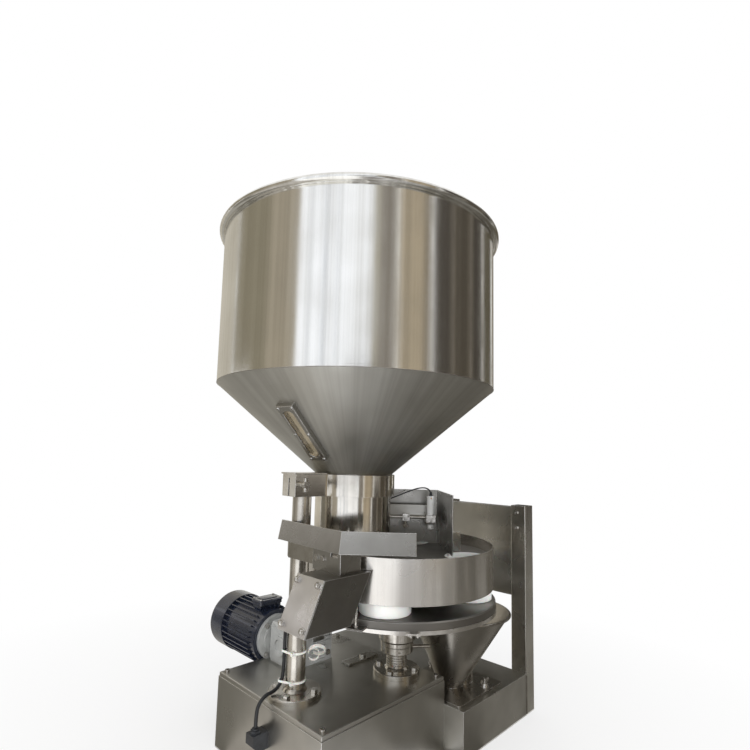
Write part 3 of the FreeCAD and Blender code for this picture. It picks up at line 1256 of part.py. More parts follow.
def terminal_box():
    """Connection box on the motor, with its lid and cable gland."""
    y0 = BODY_Y + TERMINAL_SET_BACK
    y1 = y0 + TERMINAL_LENGTH
    case = rounded_block(WORM_X - TERMINAL_HALF, WORM_X + TERMINAL_HALF, y0, y1,
                         TERMINAL_LOW_Z, TERMINAL_LOW_Z + TERMINAL_HEIGHT - TERMINAL_LID, TERMINAL_CORNER)
    top = TERMINAL_LOW_Z + TERMINAL_HEIGHT
    lid_half = TERMINAL_HALF + TERMINAL_OVERHANG
    lid = rounded_block(WORM_X - lid_half, WORM_X + lid_half, y0 - TERMINAL_OVERHANG, y1 + TERMINAL_OVERHANG,
                        top - TERMINAL_LID, top, TERMINAL_CORNER + TERMINAL_OVERHANG)
    lid = lid.makeChamfer(TERMINAL_EDGE, [e for e in lid.Edges if e.BoundBox.ZMin > top - 0.1])
    return fuse([case, lid])


def fan_cowl():
    """Pressed cowl over the fan, with air slots in its end."""
    end = COWL_Y + COWL_LENGTH
    outer = along_y(COWL_Y - COWL_OVERLAP, end, COWL_R)
    rims = [e for e in outer.Edges if e.BoundBox.YMin > end - 0.1]
    outer = outer.makeFillet(10.0, rims)
    inner = along_y(COWL_Y - COWL_OVERLAP - 1.0, end - COWL_WALL, COWL_R - COWL_WALL)
    inner = inner.makeFillet(8.0, [e for e in inner.Edges if e.BoundBox.YMin > end - COWL_WALL - 0.1])
    cowl = outer.cut(inner)
    slots = []
    for step in range(COWL_SLOTS):
        slot = box(WORM_X - 2.5, WORM_X + 2.5, end - COWL_WALL - 2.0, end + 1.0,
                   WORM_Z + 16.0, WORM_Z + COWL_R - 16.0)
        slot.rotate(Vec(WORM_X, 0, WORM_Z), Vec(0, 1, 0), 360.0 / COWL_SLOTS * step)
        slots.append(slot)
    return cowl.cut(Part.makeCompound(slots))


def motor_fan():
    """Fan and the end of the motor shaft."""
    y0 = COWL_Y + 12.0
    hub = along_y(y0, y0 + FAN_WIDTH + 4.0, 16.0)
    disc = along_y(y0, y0 + 3.0, FAN_R)
    blades = []
    for step in range(FAN_BLADES):
        blade = box(WORM_X - 1.5, WORM_X + 1.5, y0, y0 + FAN_WIDTH, WORM_Z + 10.0, WORM_Z + FAN_R)
        blade.rotate(Vec(WORM_X, 0, WORM_Z), Vec(0, 1, 0), 360.0 / FAN_BLADES * step)
        blades.append(blade)
    shaft = along_y(COWL_Y - 18.0, y0 + FAN_WIDTH + 6.0, MOTOR_SHAFT_R)
    return fuse([hub, disc, shaft] + blades)


def box_side(shrink):
    """Corners of the leaning box, seen from the side at its low Y wall."""
    y = BOX_LOW_Y + shrink
    return [Vec(BOX_TOP_LOW_X + shrink, y, BOX_TOP_Z - shrink),
            Vec(BOX_TOP_HIGH_X - shrink, y, BOX_TOP_Z - shrink),
            Vec(BOX_BOTTOM_HIGH_X - shrink, y, BOX_BOTTOM_Z + shrink),
            Vec(BOX_BOTTOM_LOW_X + shrink, y, BOX_BOTTOM_Z + shrink)]


def cover_frame():
    """Direction down the sloping cover, and the way out of it."""
    down = Vec(BOX_BOTTOM_LOW_X - BOX_TOP_LOW_X, 0, BOX_BOTTOM_Z - BOX_TOP_Z)
    length = down.Length
    down.normalize()
    out = Vec(down.z, 0, -down.x)
    if out.x > 0:
        out = out.negative()
    return down, out, length


def junction_box():
    """Sheet box with a leaning front, hollowed behind to clear the turntable's band."""
    clear_r = RING_R + BOX_RING_GAP
    outside = extrude(box_side(0.0), Vec(0, BOX_HIGH_Y - BOX_LOW_Y, 0))
    outside = outside.cut(cyl(TURN_X, TURN_Y, BOX_BOTTOM_Z - 1, BOX_TOP_Z + 1, clear_r))
    inside = extrude(box_side(BOX_WALL), Vec(0, BOX_HIGH_Y - BOX_LOW_Y - 2.0 * BOX_WALL, 0))
    inside = inside.cut(cyl(TURN_X, TURN_Y, BOX_BOTTOM_Z - 1, BOX_TOP_Z + 1, clear_r + BOX_WALL))
    down, out, length = cover_frame()
    inset = 12.0
    corner = Vec(BOX_TOP_LOW_X, BOX_LOW_Y + inset, BOX_TOP_Z).add(Vec(down).multiply(inset))
    far = Vec(down).multiply(length - 2 * inset)
    deep = Vec(out).multiply(-12.0)
    near = Vec(out).multiply(2.0)
    mouth = extrude([corner.add(near), corner.add(near).add(far), corner.add(deep).add(far),
                     corner.add(deep)], Vec(0, BOX_HIGH_Y - BOX_LOW_Y - 2 * inset, 0))
    shell = outside.cut(inside).cut(mouth)
    for spot in cover_nut_spots():
        shell = shell.cut(rod(spot, spot.sub(Vec(out).multiply(8.0)), COVER_NUT_R * 0.5))
    return shell


def cover_nut_spots():
    """Places of the cover's nuts, on the plane between box and cover."""
    down, out, length = cover_frame()
    spots = []
    for y in (BOX_LOW_Y + COVER_NUT_INSET - 2.0, BOX_HIGH_Y - COVER_NUT_INSET + 2.0):
        for run in (COVER_NUT_INSET, length - COVER_NUT_INSET):
            spots.append(Vec(BOX_TOP_LOW_X, y, BOX_TOP_Z).add(Vec(down).multiply(run)))
    return spots


def box_cover():
    """Flat cover on the sloping front."""
    down, out, length = cover_frame()
    start = Vec(BOX_TOP_LOW_X, BOX_LOW_Y, BOX_TOP_Z)
    far = Vec(down).multiply(length)
    thick = Vec(out).multiply(COVER_THICK)
    cover = extrude([start, start.add(far), start.add(far).add(thick), start.add(thick)],
                    Vec(0, BOX_HIGH_Y - BOX_LOW_Y, 0))
    for spot in cover_nut_spots():
        cover = cover.cut(rod(spot.sub(Vec(out).multiply(1.0)), spot.add(Vec(out).multiply(9.0)),
                              COVER_NUT_R * 0.5))
    return cover


def cover_nuts():
    """Four dome nuts that hold the cover."""
    down, out, length = cover_frame()
    lift = Vec(out).multiply(COVER_THICK)
    return [dome_nut(spot.add(lift), out, COVER_NUT_R, COVER_THICK + 6.0) for spot in cover_nut_spots()]


def skirt_line(z, inward):
    """Plan line of the skirt at a height, moved towards the neck."""
    line = [Vec(SKIRT_RIGHT_X, SKIRT_RIGHT_Y, z), Vec(SKIRT_CORNER_X, SKIRT_CORNER_Y, z),
            Vec(SKIRT_LEFT_X, SKIRT_LEFT_Y, z)]
    return offset_path(line, -inward)


def guard_skirt():
    """Folded sheet in front of the neck, flared out towards its foot."""
    low = sheet_outline(skirt_line(SKIRT_LOW_Z, 0.0), -SKIRT_SHEET)
    high = sheet_outline(skirt_line(SKIRT_LOW_Z + SKIRT_HEIGHT, SKIRT_FLARE), -SKIRT_SHEET)
    wires = [Part.makePolygon(points + [points[0]]) for points in (low, high)]
    return Part.makeLoft(wires, True, True)


SKIRT_SEAT_Z = SKIRT_LOW_Z + SKIRT_SEAT_UP


def guard_bracket():
    """Angle bracket between the box's top and the skirt, with its top shelf."""
    x0 = BRACKET_CORNER_X
    y0 = BRACKET_CORNER_Y
    line = [Vec(x0 + BRACKET_REACH_X, y0, BOX_TOP_Z), Vec(x0, y0, BOX_TOP_Z),
            Vec(x0, y0 + BRACKET_REACH_Y, BOX_TOP_Z)]
    angle = bent_sheet(line, -BRACKET_SHEET, SKIRT_SEAT_Z - BOX_TOP_Z)
    notch = box(x0 - 1.0, x0 + BRACKET_SHEET + 1.0, y0 + 8.0, y0 + 26.0, SKIRT_SEAT_Z - 22.0, SKIRT_SEAT_Z - 8.0)
    angle = angle.cut(notch)
    lean = SKIRT_FLARE * (SKIRT_SEAT_UP + BRACKET_SHEET) / SKIRT_HEIGHT
    inner = skirt_line(SKIRT_SEAT_Z, lean + SKIRT_SHEET + SEAT_GAP / 2)
    corner = inner[1]
    right = inner[0].sub(corner).normalize().multiply(70.0).add(corner)
    left = inner[2].sub(corner).normalize().multiply(90.0).add(corner)
    shelf = extrude([corner, right, left], Vec(0, 0, BRACKET_SHEET))
    whole = fuse([angle, shelf])
    for seat in bracket_bolt_seats():
        whole = whole.cut(rod(seat, seat.add(Vec(BRACKET_SHEET, 0, 0)), M6_R))
    return whole


def bracket_bolt_seats():
    """Seats of the two bolts that join bracket and column arm."""
    z = GUARD_COLLAR_LOW_Z + GUARD_COLLAR_HEIGHT / 2.0
    y = BRACKET_CORNER_Y + BRACKET_REACH_Y
    return [Vec(BRACKET_CORNER_X, y - 12.0, z), Vec(BRACKET_CORNER_X, y - 30.0, z)]


def bracket_bolts():
    """Bolts through the bracket into the column arm."""
    return [hex_bolt(seat, Vec(-1, 0, 0), M6_R, BRACKET_SHEET + 6.0) for seat in bracket_bolt_seats()]


def guard_collar():
    """Collar on the column with the arm that carries the bracket."""
    low = GUARD_COLLAR_LOW_Z
    high = low + GUARD_COLLAR_HEIGHT
    outer = COLUMN_R + GUARD_COLLAR_WALL
    ring = cyl(COLUMN_X, COLUMN_Y, low, high, outer)
    arm_x = BRACKET_CORNER_X + BRACKET_SHEET
    arm_low_y = BRACKET_CORNER_Y + BRACKET_REACH_Y - 42.0
    arm = box(arm_x, arm_x + GUARD_ARM_THICK, arm_low_y, COLUMN_Y, low, high)
    body = fuse([ring, arm]).cut(cyl(COLUMN_X, COLUMN_Y, low - 1, high + 1, COLUMN_R + RUN_FIT))
    for seat in bracket_bolt_seats():
        body = body.cut(rod(seat, seat.add(Vec(BRACKET_SHEET + 6.0, 0, 0)), M6_R))
    return body


def scraper_local(s, d, z):
    """Point of the scraper frame: s to its right, d to its back, from the turntable axis."""
    turn = math.radians(SCRAPER_ANGLE)
    return Vec(TURN_X + s * math.cos(turn) - d * math.sin(turn),
               TURN_Y + s * math.sin(turn) + d * math.cos(turn), z)


def local_box(s0, s1, d0, d1, z0, z1):
    """Block in the scraper frame."""
    return turned(box(TURN_X + s0, TURN_X + s1, TURN_Y + d0, TURN_Y + d1, z0, z1), TURN_X, TURN_Y, SCRAPER_ANGLE)


def scraper_box():
    """Two upright walls that keep the product heap on the plate."""
    line = [scraper_local(SCRAPER_LEFT, SCRAPER_BACK, SCRAPER_LOW_Z),
            scraper_local(SCRAPER_RIGHT_BACK, SCRAPER_BACK, SCRAPER_LOW_Z),
            scraper_local(SCRAPER_RIGHT_FRONT, SCRAPER_FRONT, SCRAPER_LOW_Z)]
    return bent_sheet(line, SCRAPER_SHEET, SCRAPER_TOP_Z - SCRAPER_LOW_Z)


def scraper_blade():
    """Low angled blade outside the right wall that levels the cups."""
    front = SCRAPER_FRONT + 12.0
    back = SCRAPER_FRONT + 62.0
    span = SCRAPER_BACK - SCRAPER_FRONT
    lean = (SCRAPER_RIGHT_BACK - SCRAPER_RIGHT_FRONT) / span
    side = SCRAPER_SHEET + SEAT_GAP
    front_s = SCRAPER_RIGHT_FRONT + lean * (front - SCRAPER_FRONT) + side
    back_s = SCRAPER_RIGHT_FRONT + lean * (back - SCRAPER_FRONT) + side
    line = [scraper_local(front_s, front, SCRAPER_LOW_Z), scraper_local(back_s, back, SCRAPER_LOW_Z),
            scraper_local(back_s + SCRAPER_BLADE_REACH, back + 6.0, SCRAPER_LOW_Z)]
    return bent_sheet(line, -SCRAPER_SHEET, SCRAPER_BLADE_TOP_Z - SCRAPER_LOW_Z)


def scraper_arm():
    """Bar from the rear post to the back of the scraper box."""
    wall = SCRAPER_BACK + SCRAPER_SHEET
    turn = math.radians(SCRAPER_ANGLE)
    s = (ARM_Y - TURN_Y - wall * math.cos(turn)) / math.sin(turn)
    meet = scraper_local(s, wall, 0)
    bar = box(meet.x - 20.0, POST_X - POST_SIDE / 2.0, ARM_Y - ARM_WIDTH / 2, ARM_Y + ARM_WIDTH / 2,
              ARM_TOP_Z - ARM_THICK, ARM_TOP_Z)
    end = local_box(s - 26.0, s + 26.0, wall, wall + 4.0, ARM_TOP_Z - 36.0, ARM_TOP_Z)
    post_end = box(POST_X - POST_SIDE / 2.0 - 5.0, POST_X - POST_SIDE / 2.0, ARM_Y - ARM_WIDTH / 2,
                   ARM_Y + ARM_WIDTH / 2, ARM_TOP_Z - 46.0, ARM_TOP_Z)
    inside = local_box(s - 80.0, s + 80.0, wall - 80.0, wall, ARM_TOP_Z - 60.0, ARM_TOP_Z + 20.0)
    return fuse([bar, end, post_end]).cut(inside)


def arm_bolts():
    """Two bolts that hold the scraper box on its arm."""
    wall = SCRAPER_BACK
    turn = math.radians(SCRAPER_ANGLE)
    s = (ARM_Y - TURN_Y - (wall + SCRAPER_SHEET) * math.cos(turn)) / math.sin(turn)
    way = scraper_local(0, 1, 0).sub(scraper_local(0, 0, 0))
    bolts = []
    for side in (-16.0, 16.0):
        seat = scraper_local(s + side, wall, ARM_TOP_Z - 24.0)
        bolts.append(hex_bolt(seat, way.negative(), M6_R, SCRAPER_SHEET + 4.0))
    return bolts


def bored(shape, bolts):
    """A shape with the room for its bolts taken out."""
    return shape.cut(Part.makeCompound(bolts))


RAIL_D = SCRAPER_BACK - RAIL_STAND_OFF
ROD_D = RAIL_D - RAIL_THICK - CLAMP_CUBE / 2.0


def sensor_rail():
    """Flat bar on two spacers inside the scraper box."""
    low = RAIL_MID_Z - RAIL_HEIGHT / 2
    s0 = RAIL_CENTRE_S - RAIL_LENGTH / 2
    s1 = RAIL_CENTRE_S + RAIL_LENGTH / 2
    bar = local_box(s0, s1, RAIL_D - RAIL_THICK, RAIL_D, low, low + RAIL_HEIGHT)
    spacers = []
    for s in (s0 + 12.0, s1 - 12.0):
        spacers.append(rod(scraper_local(s, RAIL_D - 0.1, RAIL_MID_Z), scraper_local(s, SCRAPER_BACK, RAIL_MID_Z), 5.0))
    return fuse([bar] + spacers)


def sensor_rod():
    """Round rod that carries the sensor clamp."""
    left = RAIL_CENTRE_S - ROD_LENGTH * ROD_LEFT_SHARE
    return rod(scraper_local(left, ROD_D, ROD_Z), scraper_local(left + ROD_LENGTH, ROD_D, ROD_Z), ROD_R)


def rod_clamp():
    """Clamp block that holds the rod on the rail."""
    half = CLAMP_CUBE / 2
    s = RAIL_CENTRE_S - ROD_CLAMP_LEFT
    block = local_box(s - half, s + half, ROD_D - half, ROD_D + half, ROD_Z - half, ROD_Z + half)
    return block.cut(rod(scraper_local(s - 2 * half, ROD_D, ROD_Z), scraper_local(s + 2 * half, ROD_D, ROD_Z), ROD_R))


def sensor_clamp():
    """Cross clamp at the rod's end, with an upright bore for the sensor."""
    half = CLAMP_CUBE / 2
    front = ROD_D - half - SENSOR_R * 2.0 - 4.0
    block = local_box(SENSOR_S - SENSOR_R - 4.0, SENSOR_S + SENSOR_R + 4.0, front, ROD_D + half,
                      ROD_Z - half, ROD_Z + half)
    edges = [e for e in block.Edges if abs(e.tangentAt(e.FirstParameter).z) > 0.99]
    block = block.makeFillet(3.0, edges)
    block = block.cut(rod(scraper_local(SENSOR_S - 30.0, ROD_D, ROD_Z),
                          scraper_local(SENSOR_S + 30.0, ROD_D, ROD_Z), ROD_R))
    centre = sensor_axis()
    return block.cut(cyl(centre.x, centre.y, ROD_Z - 20.0, ROD_Z + 20.0, SENSOR_TIP_R + RUN_FIT))


def sensor_axis():
    """Plan place of the level sensor."""
    return scraper_local(SENSOR_S, ROD_D - CLAMP_CUBE / 2 - SENSOR_R - 1.0, 0)


def level_sensor():
    """Level sensor: plastic body above, threaded metal barrel below, small tip."""
    centre = sensor_axis()
    barrel_top = sensor_top() - SENSOR_LENGTH
    low = ROD_Z - CLAMP_CUBE / 2 - SENSOR_BELOW
    profile = [(0, low), (SENSOR_TIP_R - 2.0, low), (SENSOR_TIP_R, low + 2.0), (SENSOR_TIP_R, barrel_top),
               (SENSOR_R, barrel_top), (SENSOR_R, barrel_top + SENSOR_LENGTH - 3.0),
               (SENSOR_R - 3.0, barrel_top + SENSOR_LENGTH), (0, barrel_top + SENSOR_LENGTH)]
    return revolve(profile, centre.x, centre.y)


def thumb_screws():
    """Knurled screws of the rod clamp and the sensor clamp."""
    screws = []
    for s in (RAIL_CENTRE_S - ROD_CLAMP_LEFT, SENSOR_S):
        start = scraper_local(s, ROD_D, ROD_Z - CLAMP_CUBE / 2)
        down = Vec(0, 0, -1)
        head = rod(start.add(Vec(down).multiply(8.0)), start.add(Vec(down).multiply(17.0)), 6.0)
        shank = rod(start, start.add(Vec(down).multiply(9.0)), M6_R)
        screws.append(fuse([head, shank]))
    return screws


# Route of the black cable: box wall, column, over the plate, down to the elbow
CABLE_POINTS = [
    Vec(-165, -102, 338), Vec(-165, -80, 338), Vec(-155, -54, 322), Vec(-143, -24, 292),
    Vec(-126.5, 0.2, 254), Vec(-126.5, 0.2, 188), Vec(-134, -2, 170), Vec(-152, -6, 162.5),
    Vec(-BASE_HALF - 2, -8, 163), Vec(-BASE_HALF - 18, -8.5, 150),
    Vec(-BASE_HALF - 21, -8.5, 130), Vec(-BASE_HALF - 21, -8.5, 112),
]

# Route of the sensor's cable in the scraper frame: right, back, height
SENSOR_ROUTE = [
    (80, 73, 523), (80, 73, 531), (75, 76, 539), (65, 82, 542), (48, 91, 539), (24, 98, 529),
    (-6, 99, 516), (-32, 97, 507), (-53, 96, 500.5), (-68, 106, 496), (-68, 121, 496),
]

TIE_HEIGHT = 4.0
TIE_WALL = 1.5
TIE_LOCK_WIDTH = 7.0
TIE_LOCK_DEPTH = 6.0
TIE_LOCK_PROUD = 1.0
TIE_LOCK_ANGLE = 215.0
TIGHT_TIE_ROOM = 0.4
LOOSE_TIE_ROOM = 3.0
UPPER_TIE_Z = 228.0
LOWER_TIE_Z = 174.0
ELBOW_LOW_Z = 74.0
ELBOW_TOP_Z = 104.0
ELBOW_HALF = 12.0


def sensor_top():
    """Height of the sensor's top."""
    return ROD_Z + CLAMP_CUBE / 2 + SENSOR_SEAT + SENSOR_LENGTH


def column_cable():
    """Black cable from the box, down the column and over the plate to its gland."""
    return cable(CABLE_POINTS, CABLE_R)


def two_circle_prism(x, y, column_r, cable_r, z0, z1):
    """Prism round the column's circle and one cable circle, as a tight band lies."""
    reach = math.hypot(x - COLUMN_X, y - COLUMN_Y)
    angle = math.degrees(math.atan2(y - COLUMN_Y, x - COLUMN_X))
    lean = math.degrees(math.acos((column_r - cable_r) / reach))
    corners = [polar(COLUMN_X, COLUMN_Y, column_r, angle - lean, z0), polar(x, y, cable_r, angle - lean, z0),
               polar(x, y, cable_r, angle + lean, z0), polar(COLUMN_X, COLUMN_Y, column_r, angle + lean, z0)]
    web = extrude(corners, Vec(0, 0, z1 - z0))
    return fuse([cyl(COLUMN_X, COLUMN_Y, z0, z1, column_r), web, cyl(x, y, z0, z1, cable_r)])


def cable_ties():
    """Two plastic ties round column and cable, with their locks."""
    upper_at = CABLE_POINTS[4]
    lower_at = Vec(CABLE_POINTS[5]).add(CABLE_POINTS[6]).multiply(0.5)
    ties = []
    for z, at, loose in ((UPPER_TIE_Z, upper_at, TIGHT_TIE_ROOM), (LOWER_TIE_Z, lower_at, LOOSE_TIE_ROOM)):
        inner_column = COLUMN_R + SEAT_GAP / 2
        inner_cable = CABLE_R + loose
        band = two_circle_prism(at.x, at.y, inner_column + TIE_WALL, inner_cable + TIE_WALL, z, z + TIE_HEIGHT)
        lock_out = inner_column + TIE_WALL + TIE_LOCK_DEPTH / 3
        lock_at = polar(COLUMN_X, COLUMN_Y, lock_out, TIE_LOCK_ANGLE, z)
        lock = box(lock_at.x - TIE_LOCK_WIDTH / 2, lock_at.x + TIE_LOCK_WIDTH / 2,
                   lock_at.y - TIE_LOCK_DEPTH / 2, lock_at.y + TIE_LOCK_DEPTH / 2,
                   z - TIE_LOCK_PROUD, z + TIE_HEIGHT + TIE_LOCK_PROUD)
        room = two_circle_prism(at.x, at.y, inner_column, inner_cable, z - TIE_HEIGHT, z + 2 * TIE_HEIGHT)
        ties.append(fuse([band, lock]).cut(room))
    return ties


def sensor_cable():
    """Thin cable from the sensor's top to the gland in the scraper's back wall."""
    return cable([scraper_local(s, d, z) for s, d, z in SENSOR_ROUTE], SENSOR_CABLE_R)


def wall_gland(seat, tip, across):
    """Cable gland: hexagon on the wall and a round nose to its tip."""
    way = tip.sub(seat)
    length = way.Length
    way.normalize()
    return fuse([hex_prism(seat, way, across, length * 0.6), rod(seat, tip, across * 0.38)])


def cable_glands():
    """Glands where the cables start and end, and the elbow box on the housing."""
    start = CABLE_POINTS[0]
    box_gland = wall_gland(Vec(start.x, BOX_HIGH_Y, start.z), start, 17.0)
    end = CABLE_POINTS[-1]
    elbow_gland = wall_gland(Vec(end.x, end.y, ELBOW_TOP_Z), end, 17.0)
    body = box(end.x - ELBOW_HALF, -BASE_HALF, end.y - ELBOW_HALF, end.y + ELBOW_HALF, ELBOW_LOW_Z, ELBOW_TOP_Z)
    slope = [e for e in body.Edges if e.BoundBox.XMax < end.x and e.BoundBox.ZMax < ELBOW_LOW_Z + 1.0]
    body = body.makeChamfer(ELBOW_HALF, slope)
    sensor_end = scraper_local(*SENSOR_ROUTE[-1])
    wall = scraper_local(SENSOR_ROUTE[-1][0], SCRAPER_BACK, SENSOR_ROUTE[-1][2])
    return [box_gland, fuse([elbow_gland, body]), wall_gland(wall, sensor_end, 11.0)]


def export(name, shapes):
    """Write one node's solids to its file."""
    shape = shapes[0] if len(shapes) == 1 else Part.makeCompound(shapes)
    shape.exportStep("parts/" + name + ".step")
    volume = sum(s.Volume for s in shape.Solids)
    print(name, "solids", len(shape.Solids), "valid", shape.isValid(), "volume", round(volume))


def base_nodes():
    """Nodes of the base, the deck and the frame behind it."""
    return {
        "base_housing": [base_housing()],
        "base_top_plate": [top_plate()],
        "socket_screws": plate_screws() + post_screws(),
        "slot_bar": [slot_bar()],
        "hex_bolts_m8": [slot_bar_bolt()] + foot_bolts() + support_bolts() + gearbox_bolts(),
        "hex_bolts_m6": motor_bolts() + bracket_bolts() + arm_bolts(),
        "deck": [deck()],
        "frame_posts": [bored(post(FRONT_POST_Y), post_screws()), post(REAR_POST_Y)],
        "cross_panels": [cross_panel(UPPER_PANEL_LOW_Z, UPPER_PANEL_HIGH_Z, UPPER_PANEL_SET_BACK),
                         cross_panel(LOWER_PANEL_LOW_Z, LOWER_PANEL_HIGH_Z, LOWER_PANEL_SET_BACK)],
        "discharge_funnel": [discharge_funnel()],
        "wing_nuts": wing_nuts(),
    }


def hopper_nodes():
    """Nodes of the column, the clamp and the hopper."""
    return {
        "hopper_column": [column()],
        "hopper_shell": [hopper_shell()],
        "hopper_cone": [hopper_cone()],
        "hopper_neck": [hopper_neck()],
        "sight_frame": [sight_frame()] + sight_screws(),
        "sight_glass": [sight_glass()],
        "neck_clamp": [neck_clamp()],
        "clamp_bolt": [clamp_bolt()],
        "guard_skirt": [guard_skirt()],
        "guard_bracket": [guard_bracket()],
        "guard_collar": [guard_collar()],
        "junction_box": [junction_box()],
        "box_cover": [box_cover()],
        "cover_nuts": cover_nuts(),
        "column_cable": [column_cable()],
        "cable_ties": cable_ties(),
        "cable_glands": cable_glands(),
    }


def turntable_nodes():
    """Nodes of the turntable, its cups, the tray under them and the support."""
    return {
        "turntable_plate": [turntable_plate()],
        "turntable_ring": [turntable_ring()],
        "turntable_hub": [turntable_hub()],
        "turntable_shaft": [turntable_shaft()],
        "hub_fasteners": [hub_nut()] + hub_bolts(),
        "upper_cups": upper_cups(),
        "lower_cups": lower_cups(),
        "bottom_tray": [bottom_tray()],
        "tray_fasteners": carrier_screws() + [stop_pin()],
        "tray_carrier": [tray_carrier()],
        "tray_hoop": [tray_hoop(), hoop_screw()],
        "shaft_support": [shaft_support()],
        "shaft_bushes": shaft_bushes(),
        "adjusting_collar": [adjusting_collar(), tommy_bar()],
    }


def drive_nodes():
    """Nodes of the belt drive, the gearbox and the motor."""
    return {
        "driven_pulley": [pulley(TURN_X, TURN_Y, SHAFT_R)],
        "drive_pulley": [pulley(DRIVE_X, DRIVE_Y, DRIVE_SHAFT_R), drive_shaft()],
        "drive_belt": [drive_belt()],
        "gearbox_body": [gearbox_body()],
        "motor_flange": [motor_flange()],
        "motor_body": [motor_body()],
        "terminal_box": [terminal_box()],
        "fan_cowl": [fan_cowl()],
        "motor_fan": [motor_fan()],
    }


def scraper_nodes():
    """Nodes of the scraper box and the level sensor."""
    return {
        "scraper_box": [bored(scraper_box(), arm_bolts())],
        "scraper_blade": [scraper_blade()],
        "scraper_arm": [bored(scraper_arm(), arm_bolts())],
        "sensor_rail": [sensor_rail()],
        "sensor_rod": [sensor_rod()],
        "rod_clamps": [rod_clamp(), sensor_clamp()],
        "thumb_screws": thumb_screws(),
        "level_sensor": [level_sensor()],
        "sensor_cable": [sensor_cable()],
    }


def main():
    """Build every node and write it out."""
    os.makedirs("parts", exist_ok=True)
    groups = [base_nodes(), hopper_nodes(), turntable_nodes(), drive_nodes(), scraper_nodes()]
    count = 0
    for group in groups:
        for name, shapes in group.items():
            export(name, shapes)
            count += 1
    print("nodes", count)


main()
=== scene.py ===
"""Looks of a volumetric cup filler: finishes, trim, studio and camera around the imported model."""

import logging
import math
from abc import ABC, abstractmethod
from dataclasses import dataclass
from enum import Enum
from typing import Any, Optional, Sequence, Union

import bmesh
import bpy
from mathutils import Matrix, Vector


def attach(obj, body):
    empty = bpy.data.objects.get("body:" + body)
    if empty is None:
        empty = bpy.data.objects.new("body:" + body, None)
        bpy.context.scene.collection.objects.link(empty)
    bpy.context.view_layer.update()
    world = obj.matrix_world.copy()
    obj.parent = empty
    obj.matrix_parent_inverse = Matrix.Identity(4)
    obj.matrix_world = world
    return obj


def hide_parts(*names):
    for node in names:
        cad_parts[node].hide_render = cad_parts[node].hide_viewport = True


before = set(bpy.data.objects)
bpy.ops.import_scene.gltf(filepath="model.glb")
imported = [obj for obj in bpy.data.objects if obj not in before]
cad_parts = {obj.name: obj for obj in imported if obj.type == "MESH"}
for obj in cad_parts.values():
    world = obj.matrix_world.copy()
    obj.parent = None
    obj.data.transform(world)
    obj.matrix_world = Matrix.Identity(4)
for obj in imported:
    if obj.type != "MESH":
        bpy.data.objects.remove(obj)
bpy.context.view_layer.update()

LOG = logging.getLogger("cup_filler")
MM = 0.001
MM_PER_M = 1000.0
FULL_TURN = 2.0 * math.pi
HALF_ROOT = math.sqrt(0.5)
UP = Vector((0.0, 0.0, 1.0))
Point = tuple[float, float, float]
Plan = tuple[float, float]
Profile = Sequence[Plan]

# How many times longer than wide a brushed line is drawn.
LINE_DRAW = 90.0
# Axis of the hopper and of the turntable in plan, in millimetres.
HOPPER_AXIS: Plan = (20.0, -29.0)
TURN_AXIS: Plan = (111.0, -85.0)


# Colour and node helpers


def linear(hex_colour: str) -> tuple[float, float, float, float]:
    """Turns a written sRGB colour into the linear one that the shaders take.

    Args:
        hex_colour: colour as RRGGBB.

    Returns:
        Linear red, green and blue, and an alpha of one.
    """
    parts = [int(hex_colour[i : i + 2], 16) / 255.0 for i in (0, 2, 4)]
    curved = [p / 12.92 if p <= 0.04045 else ((p + 0.055) / 1.055) ** 2.4 for p in parts]
    return (curved[0], curved[1], curved[2], 1.0)


def add_node(
    tree: bpy.types.NodeTree,
    kind: str,
    values: Optional[dict[Any, Any]] = None,
    links: Optional[dict[Any, bpy.types.NodeSocket]] = None,
    **settings: Any,
) -> bpy.types.Node:
    """Adds a node with its settings, socket values and incoming links.

    Args:
        tree: node tree that gets the node.
        kind: the node's type name.
        values: constants by socket name or number.
        links: output sockets that feed this node, by its own socket name or number.
        **settings: the node's properties.

    Returns:
        The new node.
    """
    node = tree.nodes.new(kind)
    for name, value in settings.items():
        setattr(node, name, value)
    for socket, value in (values or {}).items():
        node.inputs[socket].default_value = value
    for socket, source in (links or {}).items():
        tree.links.new(source, node.inputs[socket])
    return node


def emptied(owner: Union[bpy.types.Material, bpy.types.World]) -> bpy.types.NodeTree:
    """Switches a material or world to nodes and clears what it starts with.

    Args:
        owner: the material or world.

    Returns:
        Its empty node tree.
    """
    owner.use_nodes = True
    owner.node_tree.nodes.clear()
    return owner.node_tree


# Finishes


class Grain(Enum):
    """Which way the fine lines of a brushed or turned surface run."""

    ROUND = "round the vertical axis"
    ALONG_X = "along X"
    ALONG_Y = "along Y"
    ALONG_Z = "along Z"
    CAST = "no direction"

    def scale(self, spacing_mm: float) -> Point:
        """Pattern scale per metre that draws lines this far apart.

        Args:
            spacing_mm: distance between lines across the grain.

        Returns:
            Scale along X, Y and Z.
        """
        fine = MM_PER_M / spacing_mm
        slow = fine / LINE_DRAW
        table = {
            Grain.ROUND: (slow, slow, fine),
            Grain.ALONG_X: (slow, fine, fine),
            Grain.ALONG_Y: (fine, slow, fine),
            Grain.ALONG_Z: (fine, fine, slow),
            Grain.CAST: (fine, fine, fine),
        }
        return table[self]


